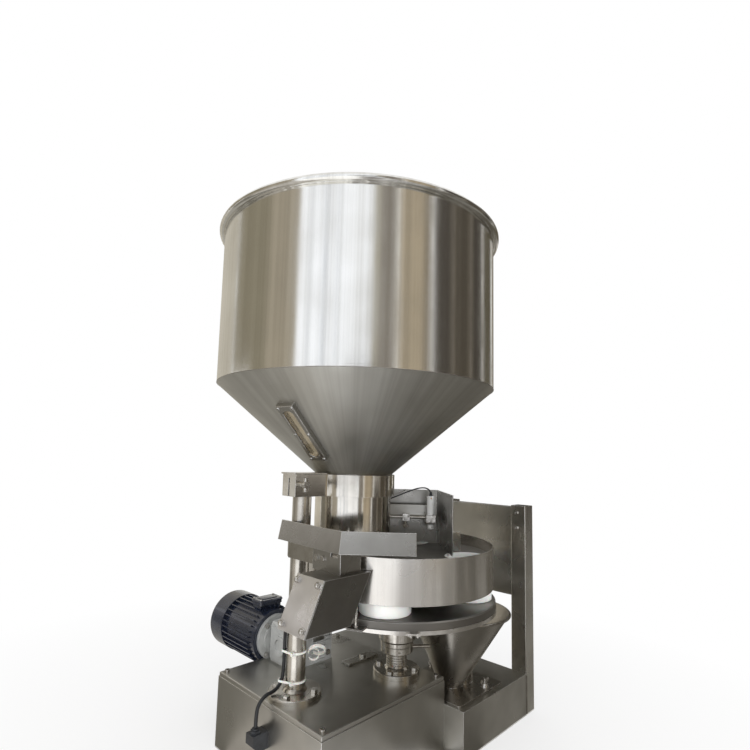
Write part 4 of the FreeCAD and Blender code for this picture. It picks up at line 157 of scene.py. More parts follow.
@dataclass(frozen=True)
class Finish(ABC):
    """A named real finish that makes its own material once.

    Args:
        name: common name of the material and how its surface was made.
    """

    name: str

    @abstractmethod
    def dress(self, tree: bpy.types.NodeTree, shader: bpy.types.Node) -> None:
        """Adds the finish's pattern nodes and sets the shader.

        Args:
            tree: the material's nodes.
            shader: the shader that they feed.
        """

    def material(self) -> bpy.types.Material:
        """Makes this finish's material on first use.

        Returns:
            The material.
        """
        known = bpy.data.materials.get(self.name)
        if known is not None:
            return known
        made = bpy.data.materials.new(self.name)
        tree = emptied(made)
        shader = add_node(tree, "ShaderNodeBsdfPrincipled")
        add_node(tree, "ShaderNodeOutputMaterial", links={"Surface": shader.outputs["BSDF"]})
        made.diffuse_color = (0.5, 0.5, 0.5, 1.0)
        self.dress(tree, shader)
        return made


@dataclass(frozen=True)
class Steel(Finish):
    """Stainless sheet, pipe or bar, brushed, turned or rolled.

    Args:
        colour: clean metal.
        soil: metal where hands and product have dulled it.
        roughness: blur of its reflections.
        grain: run of the brushed lines.
        grain_mm: spacing of the brushed lines.
        grain_depth: strength of the lines' relief.
        patch_mm: size of the dull patches.
        ripple_mm: height of the sheet's slow waves.
        edge_mm: radius of the rounded edge shading, which also sets the width of the painted highlight along
            edges.
        painted_edge_highlight: colour of the painted highlight along edges.
    """

    colour: str = "DDD9D2"
    soil: str = "B9B4AC"
    roughness: float = 0.24
    grain: Grain = Grain.ROUND
    grain_mm: float = 1.4
    grain_depth: float = 0.10
    patch_mm: float = 70.0
    ripple_mm: float = 0.0
    edge_mm: float = 0.7
    painted_edge_highlight: str = "FFFFFF"

    def dress(self, tree: bpy.types.NodeTree, shader: bpy.types.Node) -> None:
        """Brushed lines, dull patches and a painted highlight along each edge.

        Args:
            tree: the material's nodes.
            shader: the shader that they feed.
        """
        where = add_node(tree, "ShaderNodeTexCoord").outputs["Object"]
        lines = self.lines(tree, where)
        patches = add_node(
            tree, "ShaderNodeTexNoise",
            {"Scale": MM_PER_M / self.patch_mm, "Detail": 2.0, "Roughness": 0.5},
            {"Vector": where},
        )
        colour = self.tone(tree, where, patches.outputs["Fac"])
        dull = add_node(
            tree, "ShaderNodeMapRange",
            {"From Min": 0.3, "From Max": 0.75, "To Min": self.roughness * 0.8,
             "To Max": self.roughness * 1.35},
            {"Value": patches.outputs["Fac"]},
        )
        tree.links.new(dull.outputs["Result"], shader.inputs["Roughness"])
        shader.inputs["Metallic"].default_value = 1.0
        edge = add_node(tree, "ShaderNodeBevel", {"Radius": self.edge_mm * MM}, samples=6)
        relief = edge.outputs["Normal"]
        face = add_node(tree, "ShaderNodeNewGeometry").outputs["Normal"]
        square = add_node(tree, "ShaderNodeVectorMath", links={0: relief, 1: face}, operation="DOT_PRODUCT")
        # Painted highlight: the colour goes towards white along every edge, where the rounded-edge normal
        # leaves the face's own normal.
        painted_edge_highlight = add_node(
            tree, "ShaderNodeMapRange", {"From Min": 0.99, "From Max": 0.9, "To Max": 0.95},
            {"Value": square.outputs["Value"]},
        )
        edge_highlight_mix = add_node(
            tree, "ShaderNodeMix", {7: linear(self.painted_edge_highlight)}, {0: painted_edge_highlight.outputs["Result"], 6: colour},
            data_type="RGBA",
        )
        tree.links.new(edge_highlight_mix.outputs[2], shader.inputs["Base Color"])
        if self.ripple_mm > 0.0:
            waves = add_node(
                tree, "ShaderNodeTexNoise", {"Scale": 1.0, "Detail": 1.0},
                {"Vector": add_node(tree, "ShaderNodeMapping", {"Scale": (9.0, 9.0, 1.2)},
                                    {"Vector": where}).outputs["Vector"]},
            )
            relief = add_node(
                tree, "ShaderNodeBump", {"Strength": 1.0, "Distance": self.ripple_mm * MM},
                {"Height": waves.outputs["Fac"], "Normal": relief},
            ).outputs["Normal"]
        brushed = add_node(
            tree, "ShaderNodeBump", {"Strength": self.grain_depth, "Distance": 0.3 * MM},
            {"Height": lines, "Normal": relief},
        )
        tree.links.new(brushed.outputs["Normal"], shader.inputs["Normal"])

    def lines(self, tree: bpy.types.NodeTree, where: bpy.types.NodeSocket) -> bpy.types.NodeSocket:
        """Noise drawn out into brushed lines.

        Args:
            tree: the material's nodes.
            where: object coordinates.

        Returns:
            The lines' height.
        """
        stretched = add_node(
            tree, "ShaderNodeMapping", {"Scale": self.grain.scale(self.grain_mm)}, {"Vector": where}
        )
        return add_node(
            tree, "ShaderNodeTexNoise", {"Scale": 1.0, "Detail": 3.0, "Roughness": 0.65},
            {"Vector": stretched.outputs["Vector"]},
        ).outputs["Fac"]

    def tone(
        self, tree: bpy.types.NodeTree, where: bpy.types.NodeSocket, patches: bpy.types.NodeSocket
    ) -> bpy.types.NodeSocket:
        """Clean metal going to dulled metal with the patches.

        Args:
            tree: the material's nodes.
            where: object coordinates.
            patches: noise of the dull patches.

        Returns:
            The base colour.
        """
        share = add_node(
            tree, "ShaderNodeMapRange", {"From Min": 0.35, "From Max": 0.7}, {"Value": patches}
        )
        mixed = add_node(
            tree, "ShaderNodeMix", {6: linear(self.colour), 7: linear(self.soil)},
            {0: share.outputs["Result"]}, data_type="RGBA",
        )
        return mixed.outputs[2]


@dataclass(frozen=True)
class RolledSheet(Steel):
    """Sheet rolled round an upright axis, with streaks down its fall line.

    Args:
        axis_mm: the sheet's axis in plan.
        streaks: number of streaks round it, roughly.
    """

    axis_mm: Plan = HOPPER_AXIS
    streaks: float = 38.0

    def tone(
        self, tree: bpy.types.NodeTree, where: bpy.types.NodeSocket, patches: bpy.types.NodeSocket
    ) -> bpy.types.NodeSocket:
        """Streaks that follow the direction from the axis.

        Args:
            tree: the material's nodes.
            where: object coordinates.
            patches: noise of the dull patches.

        Returns:
            The base colour.
        """
        centred = add_node(
            tree, "ShaderNodeVectorMath",
            {1: (self.axis_mm[0] * MM, self.axis_mm[1] * MM, 0.0)}, {0: where}, operation="SUBTRACT",
        )
        level = add_node(
            tree, "ShaderNodeVectorMath", {1: (1.0, 1.0, 0.0)}, {0: centred.outputs["Vector"]},
            operation="MULTIPLY",
        )
        heading = add_node(
            tree, "ShaderNodeVectorMath", links={0: level.outputs["Vector"]}, operation="NORMALIZE"
        )
        streaks = add_node(
            tree, "ShaderNodeTexNoise",
            {"Scale": self.streaks / 3.0, "Detail": 5.0, "Roughness": 0.7},
            {"Vector": heading.outputs["Vector"]},
        )
        both = add_node(
            tree, "ShaderNodeMath", {1: 0.5}, {0: patches, 2: streaks.outputs["Fac"]},
            operation="MULTIPLY_ADD",
        )
        share = add_node(
            tree, "ShaderNodeMapRange", {"From Min": 0.6, "From Max": 0.95},
            {"Value": both.outputs["Value"]},
        )
        return add_node(
            tree, "ShaderNodeMix", {6: linear(self.colour), 7: linear(self.soil)},
            {0: share.outputs["Result"]}, data_type="RGBA",
        ).outputs[2]


@dataclass(frozen=True)
class Coating(Finish):
    """Paint, cast metal, plastic or rubber: a skin with its own texture and slow changes of tone.

    Args:
        colour: main colour.
        shade: colour in the darker patches.
        roughness: blur of the reflections.
        metallic: share of bare metal.
        texture_mm: size of the surface texture.
        texture_depth: strength of that texture's relief.
        patch_mm: size of the tone patches.
        grain: run of the texture.
        coat: clear gloss on top.
        soft_mm: depth to which light enters.
    """

    colour: str = "808080"
    shade: str = "707070"
    roughness: float = 0.45
    metallic: float = 0.0
    texture_mm: float = 1.5
    texture_depth: float = 0.1
    patch_mm: float = 40.0
    grain: Grain = Grain.CAST
    coat: float = 0.0
    soft_mm: float = 0.0

    def dress(self, tree: bpy.types.NodeTree, shader: bpy.types.Node) -> None:
        """Texture relief, tone patches and rounded edges.

        Args:
            tree: the material's nodes.
            shader: the shader that they feed.
        """
        where = add_node(tree, "ShaderNodeTexCoord").outputs["Object"]
        fine = add_node(
            tree, "ShaderNodeTexNoise", {"Scale": 1.0, "Detail": 3.0, "Roughness": 0.6},
            {"Vector": add_node(tree, "ShaderNodeMapping", {"Scale": self.grain.scale(self.texture_mm)},
                                {"Vector": where}).outputs["Vector"]},
        )
        patches = add_node(
            tree, "ShaderNodeTexNoise", {"Scale": MM_PER_M / self.patch_mm, "Detail": 5.0},
            {"Vector": where},
        )
        share = add_node(
            tree, "ShaderNodeMapRange", {"From Min": 0.38, "From Max": 0.7},
            {"Value": patches.outputs["Fac"]},
        )
        tone = add_node(
            tree, "ShaderNodeMix", {6: linear(self.colour), 7: linear(self.shade)},
            {0: share.outputs["Result"]}, data_type="RGBA",
        )
        gloss = add_node(
            tree, "ShaderNodeMapRange",
            {"From Min": 0.3, "From Max": 0.8, "To Min": self.roughness * 0.85,
             "To Max": min(1.0, self.roughness * 1.25)},
            {"Value": patches.outputs["Fac"]},
        )
        edge = add_node(tree, "ShaderNodeBevel", {"Radius": 0.6 * MM}, samples=4)
        relief = add_node(
            tree, "ShaderNodeBump", {"Strength": self.texture_depth, "Distance": 0.4 * MM},
            {"Height": fine.outputs["Fac"], "Normal": edge.outputs["Normal"]},
        )
        tree.links.new(tone.outputs[2], shader.inputs["Base Color"])
        tree.links.new(gloss.outputs["Result"], shader.inputs["Roughness"])
        tree.links.new(relief.outputs["Normal"], shader.inputs["Normal"])
        shader.inputs["Metallic"].default_value = self.metallic
        shader.inputs["Coat Weight"].default_value = self.coat
        if self.soft_mm > 0.0:
            shader.inputs["Subsurface Weight"].default_value = 0.15
            shader.inputs["Subsurface Scale"].default_value = self.soft_mm * MM


@dataclass(frozen=True)
class Glass(Finish):
    """Float glass with a faint dust haze.

    Args:
        colour: tint of the glass.
        roughness: haze from dust.
    """

    colour: str = "E4D6BE"
    roughness: float = 0.04

    def dress(self, tree: bpy.types.NodeTree, shader: bpy.types.Node) -> None:
        """Clear glass whose haze changes slowly over the pane.

        Args:
            tree: the material's nodes.
            shader: the shader that they feed.
        """
        where = add_node(tree, "ShaderNodeTexCoord").outputs["Object"]
        dust = add_node(tree, "ShaderNodeTexNoise", {"Scale": 60.0, "Detail": 6.0}, {"Vector": where})
        haze = add_node(
            tree, "ShaderNodeMapRange",
            {"From Min": 0.4, "From Max": 0.8, "To Min": self.roughness * 0.4,
             "To Max": self.roughness * 2.5},
            {"Value": dust.outputs["Fac"]},
        )
        tree.links.new(haze.outputs["Result"], shader.inputs["Roughness"])
        shader.inputs["Base Color"].default_value = linear(self.colour)
        shader.inputs["IOR"].default_value = 1.5
        shader.inputs["Transmission Weight"].default_value = 1.0


# Rolled stainless sheet: tall bright and dark bands, with streaks down the fall line.
HOPPER = RolledSheet("rolled_stainless_hopper_sheet", colour="E9E8E4", soil="D2D0CA", roughness=0.16,
                     grain_mm=1.1, grain_depth=0.12, patch_mm=120.0, ripple_mm=0.35)
# Cone rolled from the same sheet and ground after welding, a soft grey that mirrors little; the grey is a
# darker copy of the shell's colour, painted shade on a cone that faces down.
CONE = RolledSheet("ground_stainless_cone_sheet_painted_shade", colour="C6C5BF", soil="B2B0AA", roughness=0.42,
                   grain_mm=1.3, grain_depth=0.14, patch_mm=110.0)
# Polished stainless pipe: crisp vertical bands, as a mirror that was linished round.
POLISHED = Steel("polished_stainless_pipe", colour="E4E0D8", soil="C9C4BB", roughness=0.14,
                 grain_mm=0.9, grain_depth=0.08, patch_mm=60.0)
# Ground stainless tube: softer bands than the polished pipe.
SATIN_TUBE = Steel("satin_stainless_tube", colour="D8D4CC", soil="B5B0A7", roughness=0.26,
                   grain_mm=1.0, grain_depth=0.14, patch_mm=50.0)
# Ring rolled from bright sheet: broad soft bands and faint upright streaks.
RING_SHEET = RolledSheet("bright_rolled_stainless_ring", colour="E2DFDA", soil="D3CFC9", roughness=0.24,
                         grain_mm=1.2, grain_depth=0.08, patch_mm=90.0, axis_mm=TURN_AXIS, streaks=30.0)
# Number four brushed plate, lines along X: a flat grey with a slow sheen.
PLATE = Steel("brushed_stainless_plate", colour="C6C4BE", soil="B5B3AD", roughness=0.32,
              grain=Grain.ALONG_X, grain_mm=1.6, grain_depth=0.16, patch_mm=90.0, edge_mm=1.6)
# The same plate brushed along Y.
PLATE_Y = Steel("brushed_stainless_plate_y", colour="C4C2BC", soil="B3B1AB", roughness=0.34,
                grain=Grain.ALONG_Y, grain_mm=1.6, grain_depth=0.16, patch_mm=90.0, edge_mm=1.6)
# Folded sheet with upright brushed lines, for posts and panels.
FOLDED = Steel("folded_brushed_stainless_sheet", colour="DAD8D2", soil="C6C4BD", roughness=0.26,
               grain=Grain.ALONG_Z, grain_mm=1.5, grain_depth=0.14, patch_mm=80.0, edge_mm=1.6)
# Folded sheet with level brushed lines, for guards and boxes.
GUARD = Steel("level_brushed_stainless_sheet", colour="B4B2AD", soil="A3A19C", roughness=0.27,
              grain=Grain.ROUND, grain_mm=1.3, grain_depth=0.15, patch_mm=60.0, edge_mm=1.5)
# Tray and turntable plate, dulled all over by the product that slides on them; their dark colour is painted
# shade.
WORN_PAINTED_SHADE = Steel("product_worn_stainless_plate_painted_shade", colour="8F8C87", soil="7F7C77", roughness=0.5,
             grain=Grain.ALONG_X, grain_mm=1.8, grain_depth=0.12, patch_mm=75.0)
# Spun funnel: satin sheet, dulled inside.
FUNNEL = Steel("spun_satin_stainless_funnel", colour="B3AFA8", soil="A29E97", roughness=0.27,
               grain_mm=1.2, grain_depth=0.16, patch_mm=60.0, ripple_mm=0.2)
# Box cover from the same sheet as the guards, coloured far paler as painted light on a face turned to the
# light: the palest flat face low down.
COVER = Steel("brushed_stainless_cover_painted_light", colour="F0EEEE", soil="DCDADA", roughness=0.3,
              grain=Grain.ALONG_Z, grain_mm=1.4, grain_depth=0.12, patch_mm=60.0, edge_mm=1.4)
# Folded sheet box of the cover's steel, coloured far darker as painted shade: a shaded copy of the same
# steel.
BOX_SHEET = Steel("brushed_stainless_box_painted_shade", colour="8C8A86", soil="7C7975", roughness=0.32,
                  grain=Grain.ALONG_Z, grain_mm=1.4, grain_depth=0.14, patch_mm=60.0, edge_mm=1.5)
# Turned stainless bar: fine rings and sharp glints.
TURNED = Steel("turned_stainless_bar", colour="D9D5CE", soil="B8B3AA", roughness=0.2,
               grain_mm=0.6, grain_depth=0.12, patch_mm=25.0, edge_mm=0.5)
# Rolled-thread stainless fasteners: small, bright, with dark recesses.
FASTENER = Steel("bright_stainless_fastener", colour="D6D3CE", soil="A5A19A", roughness=0.25,
                 grain=Grain.CAST, grain_mm=1.2, grain_depth=0.12, patch_mm=8.0, edge_mm=0.4)
# Weld bead: dull, rippled and a little darker than the sheet beside it.
WELD = Steel("brushed_weld_bead", colour="A8A39B", soil="857F77", roughness=0.42,
             grain=Grain.CAST, grain_mm=1.8, grain_depth=0.5, patch_mm=12.0, edge_mm=0.3)
# Machined aluminium pulley: pale and slightly blue beside the steel.
ALUMINIUM = Steel("machined_aluminium", colour="C9CBCD", soil="AFB1B3", roughness=0.3,
                  grain_mm=0.8, grain_depth=0.12, patch_mm=30.0)
# Sintered bearing bronze: warm and matt.
BRONZE = Steel("sintered_bronze", colour="A8793F", soil="80592C", roughness=0.4,
               grain=Grain.CAST, grain_mm=0.8, grain_depth=0.2, patch_mm=12.0)
# Moulded food-grade polyethylene: milky white with faint turning lines.
CUP_PLASTIC = Coating("turned_white_polyethylene", colour="F3F3F0", shade="EAEAE6", roughness=0.4,
                      texture_mm=1.2, texture_depth=0.08, patch_mm=50.0, grain=Grain.ROUND, soft_mm=2.0)
# White moulded sensor housing: cleaner and glossier than the cups.
SENSOR_PLASTIC = Coating("moulded_white_sensor_housing", colour="FFFFFE", shade="F6F6F4", roughness=0.28,
                         texture_mm=0.8, texture_depth=0.05, patch_mm=20.0)
# Painted die-cast aluminium: pale grey with a fine cast skin.
CAST_GREY = Coating("painted_die_cast_grey", colour="CDCECC", shade="B6B7B5", roughness=0.36,
                    metallic=0.35, texture_mm=1.6, texture_depth=0.3, patch_mm=30.0)
# Blue-black motor enamel over a cast frame: glossy fins with dusty valleys.
MOTOR_BLACK = Coating("blue_black_motor_enamel", colour="1A2030", shade="282E3C", roughness=0.22,
                      texture_mm=1.8, texture_depth=0.22, patch_mm=26.0, coat=0.7)
# Moulded toothed-belt rubber: matt near-black.
RUBBER = Coating("moulded_belt_rubber", colour="232323", shade="303030", roughness=0.7,
                 texture_mm=0.9, texture_depth=0.3, patch_mm=18.0)
# Extruded cable sheath: black with a soft long gloss.
SHEATH = Coating("extruded_black_cable_sheath", colour="17181A", shade="232427", roughness=0.38,
                 texture_mm=1.0, texture_depth=0.1, patch_mm=30.0)
# Moulded nylon tie: milky white.
TIE_WHITE = Coating("moulded_white_nylon_tie", colour="EFEEE8", shade="DEDCD4", roughness=0.35,
                    texture_mm=0.9, texture_depth=0.15, patch_mm=12.0, soft_mm=1.0)
# Moulded nylon gland: charcoal with a satin skin.
GLAND = Coating("moulded_charcoal_gland", colour="26272A", shade="34363A", roughness=0.42,
                texture_mm=0.9, texture_depth=0.12, patch_mm=14.0)
# Sight glass: clear with a little dust.
PANE = Glass("dusty_float_glass")
# Sensor lamp: a small amber lens.
LAMP = Coating("amber_sensor_lens", colour="C98A25", shade="B4771B", roughness=0.2, texture_depth=0.02)

NODE_FINISHES: dict[str, Finish] = {
    "base_housing": PLATE, "base_top_plate": PLATE, "socket_screws": FASTENER, "slot_bar": FOLDED,
    "hex_bolts_m8": FASTENER, "hex_bolts_m6": FASTENER, "deck": PLATE_Y, "frame_posts": FOLDED,
    "cross_panels": FOLDED, "discharge_funnel": FUNNEL, "wing_nuts": FASTENER,
    "hopper_column": SATIN_TUBE, "hopper_shell": HOPPER, "hopper_cone": CONE, "hopper_neck": POLISHED,
    "sight_frame": GUARD, "sight_glass": PANE, "neck_clamp": POLISHED, "clamp_bolt": FASTENER,
    "guard_skirt": GUARD, "guard_bracket": GUARD, "guard_collar": TURNED, "junction_box": BOX_SHEET,
    "box_cover": COVER, "cover_nuts": FASTENER, "column_cable": SHEATH, "cable_ties": TIE_WHITE,
    "cable_glands": GLAND, "turntable_plate": WORN_PAINTED_SHADE, "turntable_ring": RING_SHEET,
    "turntable_hub": TURNED, "turntable_shaft": TURNED, "hub_fasteners": FASTENER,
    "upper_cups": CUP_PLASTIC, "lower_cups": CUP_PLASTIC, "bottom_tray": WORN_PAINTED_SHADE,
    "tray_fasteners": FASTENER, "tray_carrier": TURNED, "tray_hoop": RING_SHEET,
    "shaft_support": TURNED, "shaft_bushes": BRONZE, "adjusting_collar": TURNED,
    "driven_pulley": ALUMINIUM, "drive_pulley": ALUMINIUM, "drive_belt": RUBBER,
    "gearbox_body": CAST_GREY, "motor_flange": CAST_GREY, "motor_body": MOTOR_BLACK,
    "terminal_box": MOTOR_BLACK, "fan_cowl": MOTOR_BLACK, "motor_fan": MOTOR_BLACK,
    "scraper_box": GUARD, "scraper_blade": GUARD, "scraper_arm": FOLDED,
    "sensor_rail": PLATE, "sensor_rod": TURNED, "rod_clamps": FASTENER, "thumb_screws": TURNED,
    "level_sensor": SENSOR_PLASTIC, "sensor_cable": SHEATH,
}


# Mesh work, in millimetres


def aim(direction: Vector, at: Point) -> Matrix:
    """Transform that turns +Z to a direction and moves the origin to a point.

    Args:
        direction: where the piece's own +Z goes.
        at: where its origin goes, in millimetres.

    Returns:
        The transform.
    """
    turn = UP.rotation_difference(Vector(direction).normalized()).to_matrix().to_4x4()
    return Matrix.Translation(Vector(at)) @ turn


class Blank:
    """A piece being shaped in millimetres, one solid form after another."""

    def __init__(self, name: str) -> None:
        """Starts an empty piece of that name."""
        self.name = name
        self.mesh = bmesh.new()

    def add(self, form: bmesh.types.BMesh, place: Matrix) -> "Blank":
        """Sets a finished form in place and takes it into the piece.

        Args:
            form: the form round its own origin, which is used up.
            place: where it goes.

        Returns:
            This piece.
        """
        bmesh.ops.transform(form, matrix=place, verts=form.verts)
        carrier = bpy.data.meshes.new("form")
        form.to_mesh(carrier)
        form.free()
        self.mesh.from_mesh(carrier)
        bpy.data.meshes.remove(carrier)
        return self

    def turn(self, profile: Profile, place: Matrix, steps: int = 48) -> "Blank":
        """Spins a closed profile of radius and height round +Z.

        Args:
            profile: radius and height of each corner.
            place: where the turned form goes.
            steps: facets round the turn.

        Returns:
            This piece.
        """
        form = bmesh.new()
        corners = [form.verts.new((r, 0.0, z)) for r, z in profile]
        edges = [form.edges.new(pair) for pair in zip(corners, corners[1:] + corners[:1])]
        bmesh.ops.spin(
            form, geom=corners + edges, cent=(0.0, 0.0, 0.0), axis=(0.0, 0.0, 1.0),
            dvec=(0.0, 0.0, 0.0), angle=FULL_TURN, steps=steps, use_merge=True,
        )
        return self.add(form, place)

    def prism(self, sides: int, radius: float, height: float, place: Matrix,
              tip: Optional[float] = None) -> "Blank":
        """Adds a prism or a tapered one standing on its origin.

        Args:
            sides: number of sides.
            radius: radius of its corners.
            height: height along +Z.
            place: where it goes.
            tip: radius at the top, if it tapers.

        Returns:
            This piece.
        """
        form = bmesh.new()
        bmesh.ops.create_cone(
            form, cap_ends=True, segments=sides, radius1=radius,
            radius2=radius if tip is None else tip, depth=height,
            matrix=Matrix.Translation((0.0, 0.0, height / 2.0)),
        )
        return self.add(form, place)

    def block(self, size: Point, place: Matrix, bevel: float = 0.0) -> "Blank":
        """Adds a block centred on its origin, with its edges broken.

        Args:
            size: length along X, Y and Z.
            place: where it goes.
            bevel: width of the broken edges.

        Returns:
            This piece.
        """
        form = bmesh.new()
        bmesh.ops.create_cube(form, size=1.0, matrix=Matrix.Diagonal((*size, 1.0)))
        if bevel > 0.0:
            bmesh.ops.bevel(
                form, geom=form.edges[:], offset=bevel, affect="EDGES", segments=2, profile=0.5,
                material=-1,
            )
        return self.add(form, place)

    def strip(self, half_width: float, thickness: float, radius: float, turn_deg: float, shift: float,
              place: Matrix) -> "Blank":
        """Adds a flat strip rolled round its own Y axis.

        Args:
            half_width: half the strip's width.
            thickness: its thickness.
            radius: radius of the roll.
            turn_deg: how far it is rolled.
            shift: sideways drift over the roll.
            place: where its start goes.

        Returns:
            This piece.
        """
        form = bmesh.new()
        steps = 30
        corners = [form.verts.new(at) for at in (
            (0.0, -half_width, 0.0), (0.0, half_width, 0.0),
            (thickness, half_width, 0.0), (thickness, -half_width, 0.0),
        )]
        bmesh.ops.spin(
            form, geom=[form.faces.new(corners)], cent=(radius, 0.0, 0.0), axis=(0.0, 1.0, 0.0),
            dvec=(0.0, shift / steps, 0.0), angle=math.radians(turn_deg), steps=steps, use_merge=False,
        )
        return self.add(form, place)

    def finish(self, finish: Finish, body: str, slot: str, smooth_angle: float = 40.0) -> bpy.types.Object:
        """Turns the blank into a piece of the scene.

        Args:
            finish: the piece's material.
            body: the CAD body it rides on.
            slot: the record's material slot; not used.
            smooth_angle: edges sharper than this, in degrees, stay sharp.

        Returns:
            The piece.
        """
        bmesh.ops.remove_doubles(self.mesh, verts=self.mesh.verts, dist=0.001)
        bmesh.ops.transform(self.mesh, matrix=Matrix.Scale(MM, 4), verts=self.mesh.verts)
        bmesh.ops.recalc_face_normals(self.mesh, faces=self.mesh.faces)
        data = bpy.data.meshes.new(self.name)
        self.mesh.to_mesh(data)
        self.mesh.free()
        for polygon in data.polygons:
            polygon.use_smooth = True
        data.set_sharp_from_angle(angle=math.radians(smooth_angle))
        data.materials.append(finish.material())
        piece = bpy.data.objects.new(self.name, data)
        bpy.context.scene.collection.objects.link(piece)
        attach(piece, body)
        LOG.info("piece %s on %s: %d faces", self.name, body, len(data.polygons))
        return piece


def bead(blank: Blank, radius: float, thickness: float, place: Matrix, steps: int = 96) -> None:
    """Adds a round weld bead or ring.

    Args:
        blank: the piece that gets it.
        radius: radius of the ring.
        thickness: radius of the bead itself.
        place: centre and axis of the ring.
        steps: facets round the ring.
    """
    section = [
        (radius + thickness * math.cos(FULL_TURN * i / 8), thickness * math.sin(FULL_TURN * i / 8))
        for i in range(8)
    ]
    blank.turn(section, place, steps=steps)


def hex_screw(blank: Blank, at: Point, direction: Vector, across: float, height: float) -> None:
    """Adds a hexagon head on its washer.

    Args:
        blank: the piece that gets it.
        at: point on the surface.
        direction: way out of the surface.
        across: radius of the washer.
        height: height of the head.
    """
    place = aim(direction, at)
    blank.prism(28, across, height * 0.22, place)
    blank.prism(6, across * 0.82, height, place, tip=across * 0.78)


def pan_screw(blank: Blank, at: Point, direction: Vector, radius: float) -> None:
    """Adds a domed screw head with a drive recess ring.

    Args:
        blank: the piece that gets it.
        at: point on the surface.
        direction: way out of the surface.
        radius: radius of the head.
    """
    outline = [(0.001, 0.0), (radius, 0.0), (radius * 0.96, radius * 0.3), (radius * 0.62, radius * 0.58),
               (radius * 0.36, radius * 0.62), (radius * 0.3, radius * 0.25), (0.001, radius * 0.25)]
    blank.turn(outline, aim(direction, at), steps=24)


@dataclass
class HopperTrim:
    """Weld lines of the hopper.

    Args:
        axis: the hopper's axis in plan.
        shell_r: radius of the shell.
        line_z: height of the shell's lower edge.
        top_z: height just under the rim bead.
        neck_r: radius of the neck.
        neck_z: height where the cone meets the neck.
        lap_angle: where the shell's upright joint is, in degrees.
        girth_bead: radius of the girth weld.
        lap_bead: radius of the upright weld.
        neck_bead: radius of the neck weld.
    """

    axis: Plan = HOPPER_AXIS
    shell_r: float = 300.0
    line_z: float = 758.7
    top_z: float = 1078.0
    neck_r: float = 83.0
    neck_z: float = 575.4
    lap_angle: float = 38.0
    girth_bead: float = 0.7
    lap_bead: float = 1.6
    neck_bead: float = 1.4

    def girth(self) -> None:
        """Bead round the line between shell and cone."""
        blank = Blank("hopper_girth_weld")
        line = Matrix.Translation((*self.axis, self.line_z))
        bead(blank, self.shell_r - 0.1, self.girth_bead, line, steps=160)
        blank.finish(WELD, "hopper", "hopper_steel")

    def lap(self) -> None:
        """Upright bead where the rolled shell closes, at the back."""
        angle = math.radians(self.lap_angle)
        foot = (self.axis[0] + self.shell_r * math.cos(angle),
                self.axis[1] + self.shell_r * math.sin(angle), self.line_z)
        blank = Blank("hopper_lap_weld")
        blank.prism(10, self.lap_bead, self.top_z - self.line_z, Matrix.Translation(foot))
        blank.finish(WELD, "hopper", "hopper_steel")

    def neck(self) -> None:
        """Bead round the foot of the cone."""
        blank = Blank("hopper_neck_weld")
        bead(blank, self.neck_r + 0.8, self.neck_bead, Matrix.Translation((*self.axis, self.neck_z)))
        blank.finish(WELD, "hopper", "hopper_steel")

    def build(self) -> None:
        """Makes every piece of the hopper's trim."""
        self.girth()
        self.lap()
        self.neck()


def from_scraper(along: float, across: float, height: float) -> Point:
    """Turns a place in the scraper's frame, laid out from the turntable's axis, to the machine's.

    Args:
        along: distance along the scraper.
        across: distance across it.
        height: height above the floor.

    Returns:
        The place in the machine's frame.
    """
    return (TURN_AXIS[0] + HALF_ROOT * (along + across), TURN_AXIS[1] + HALF_ROOT * (across - along), height)


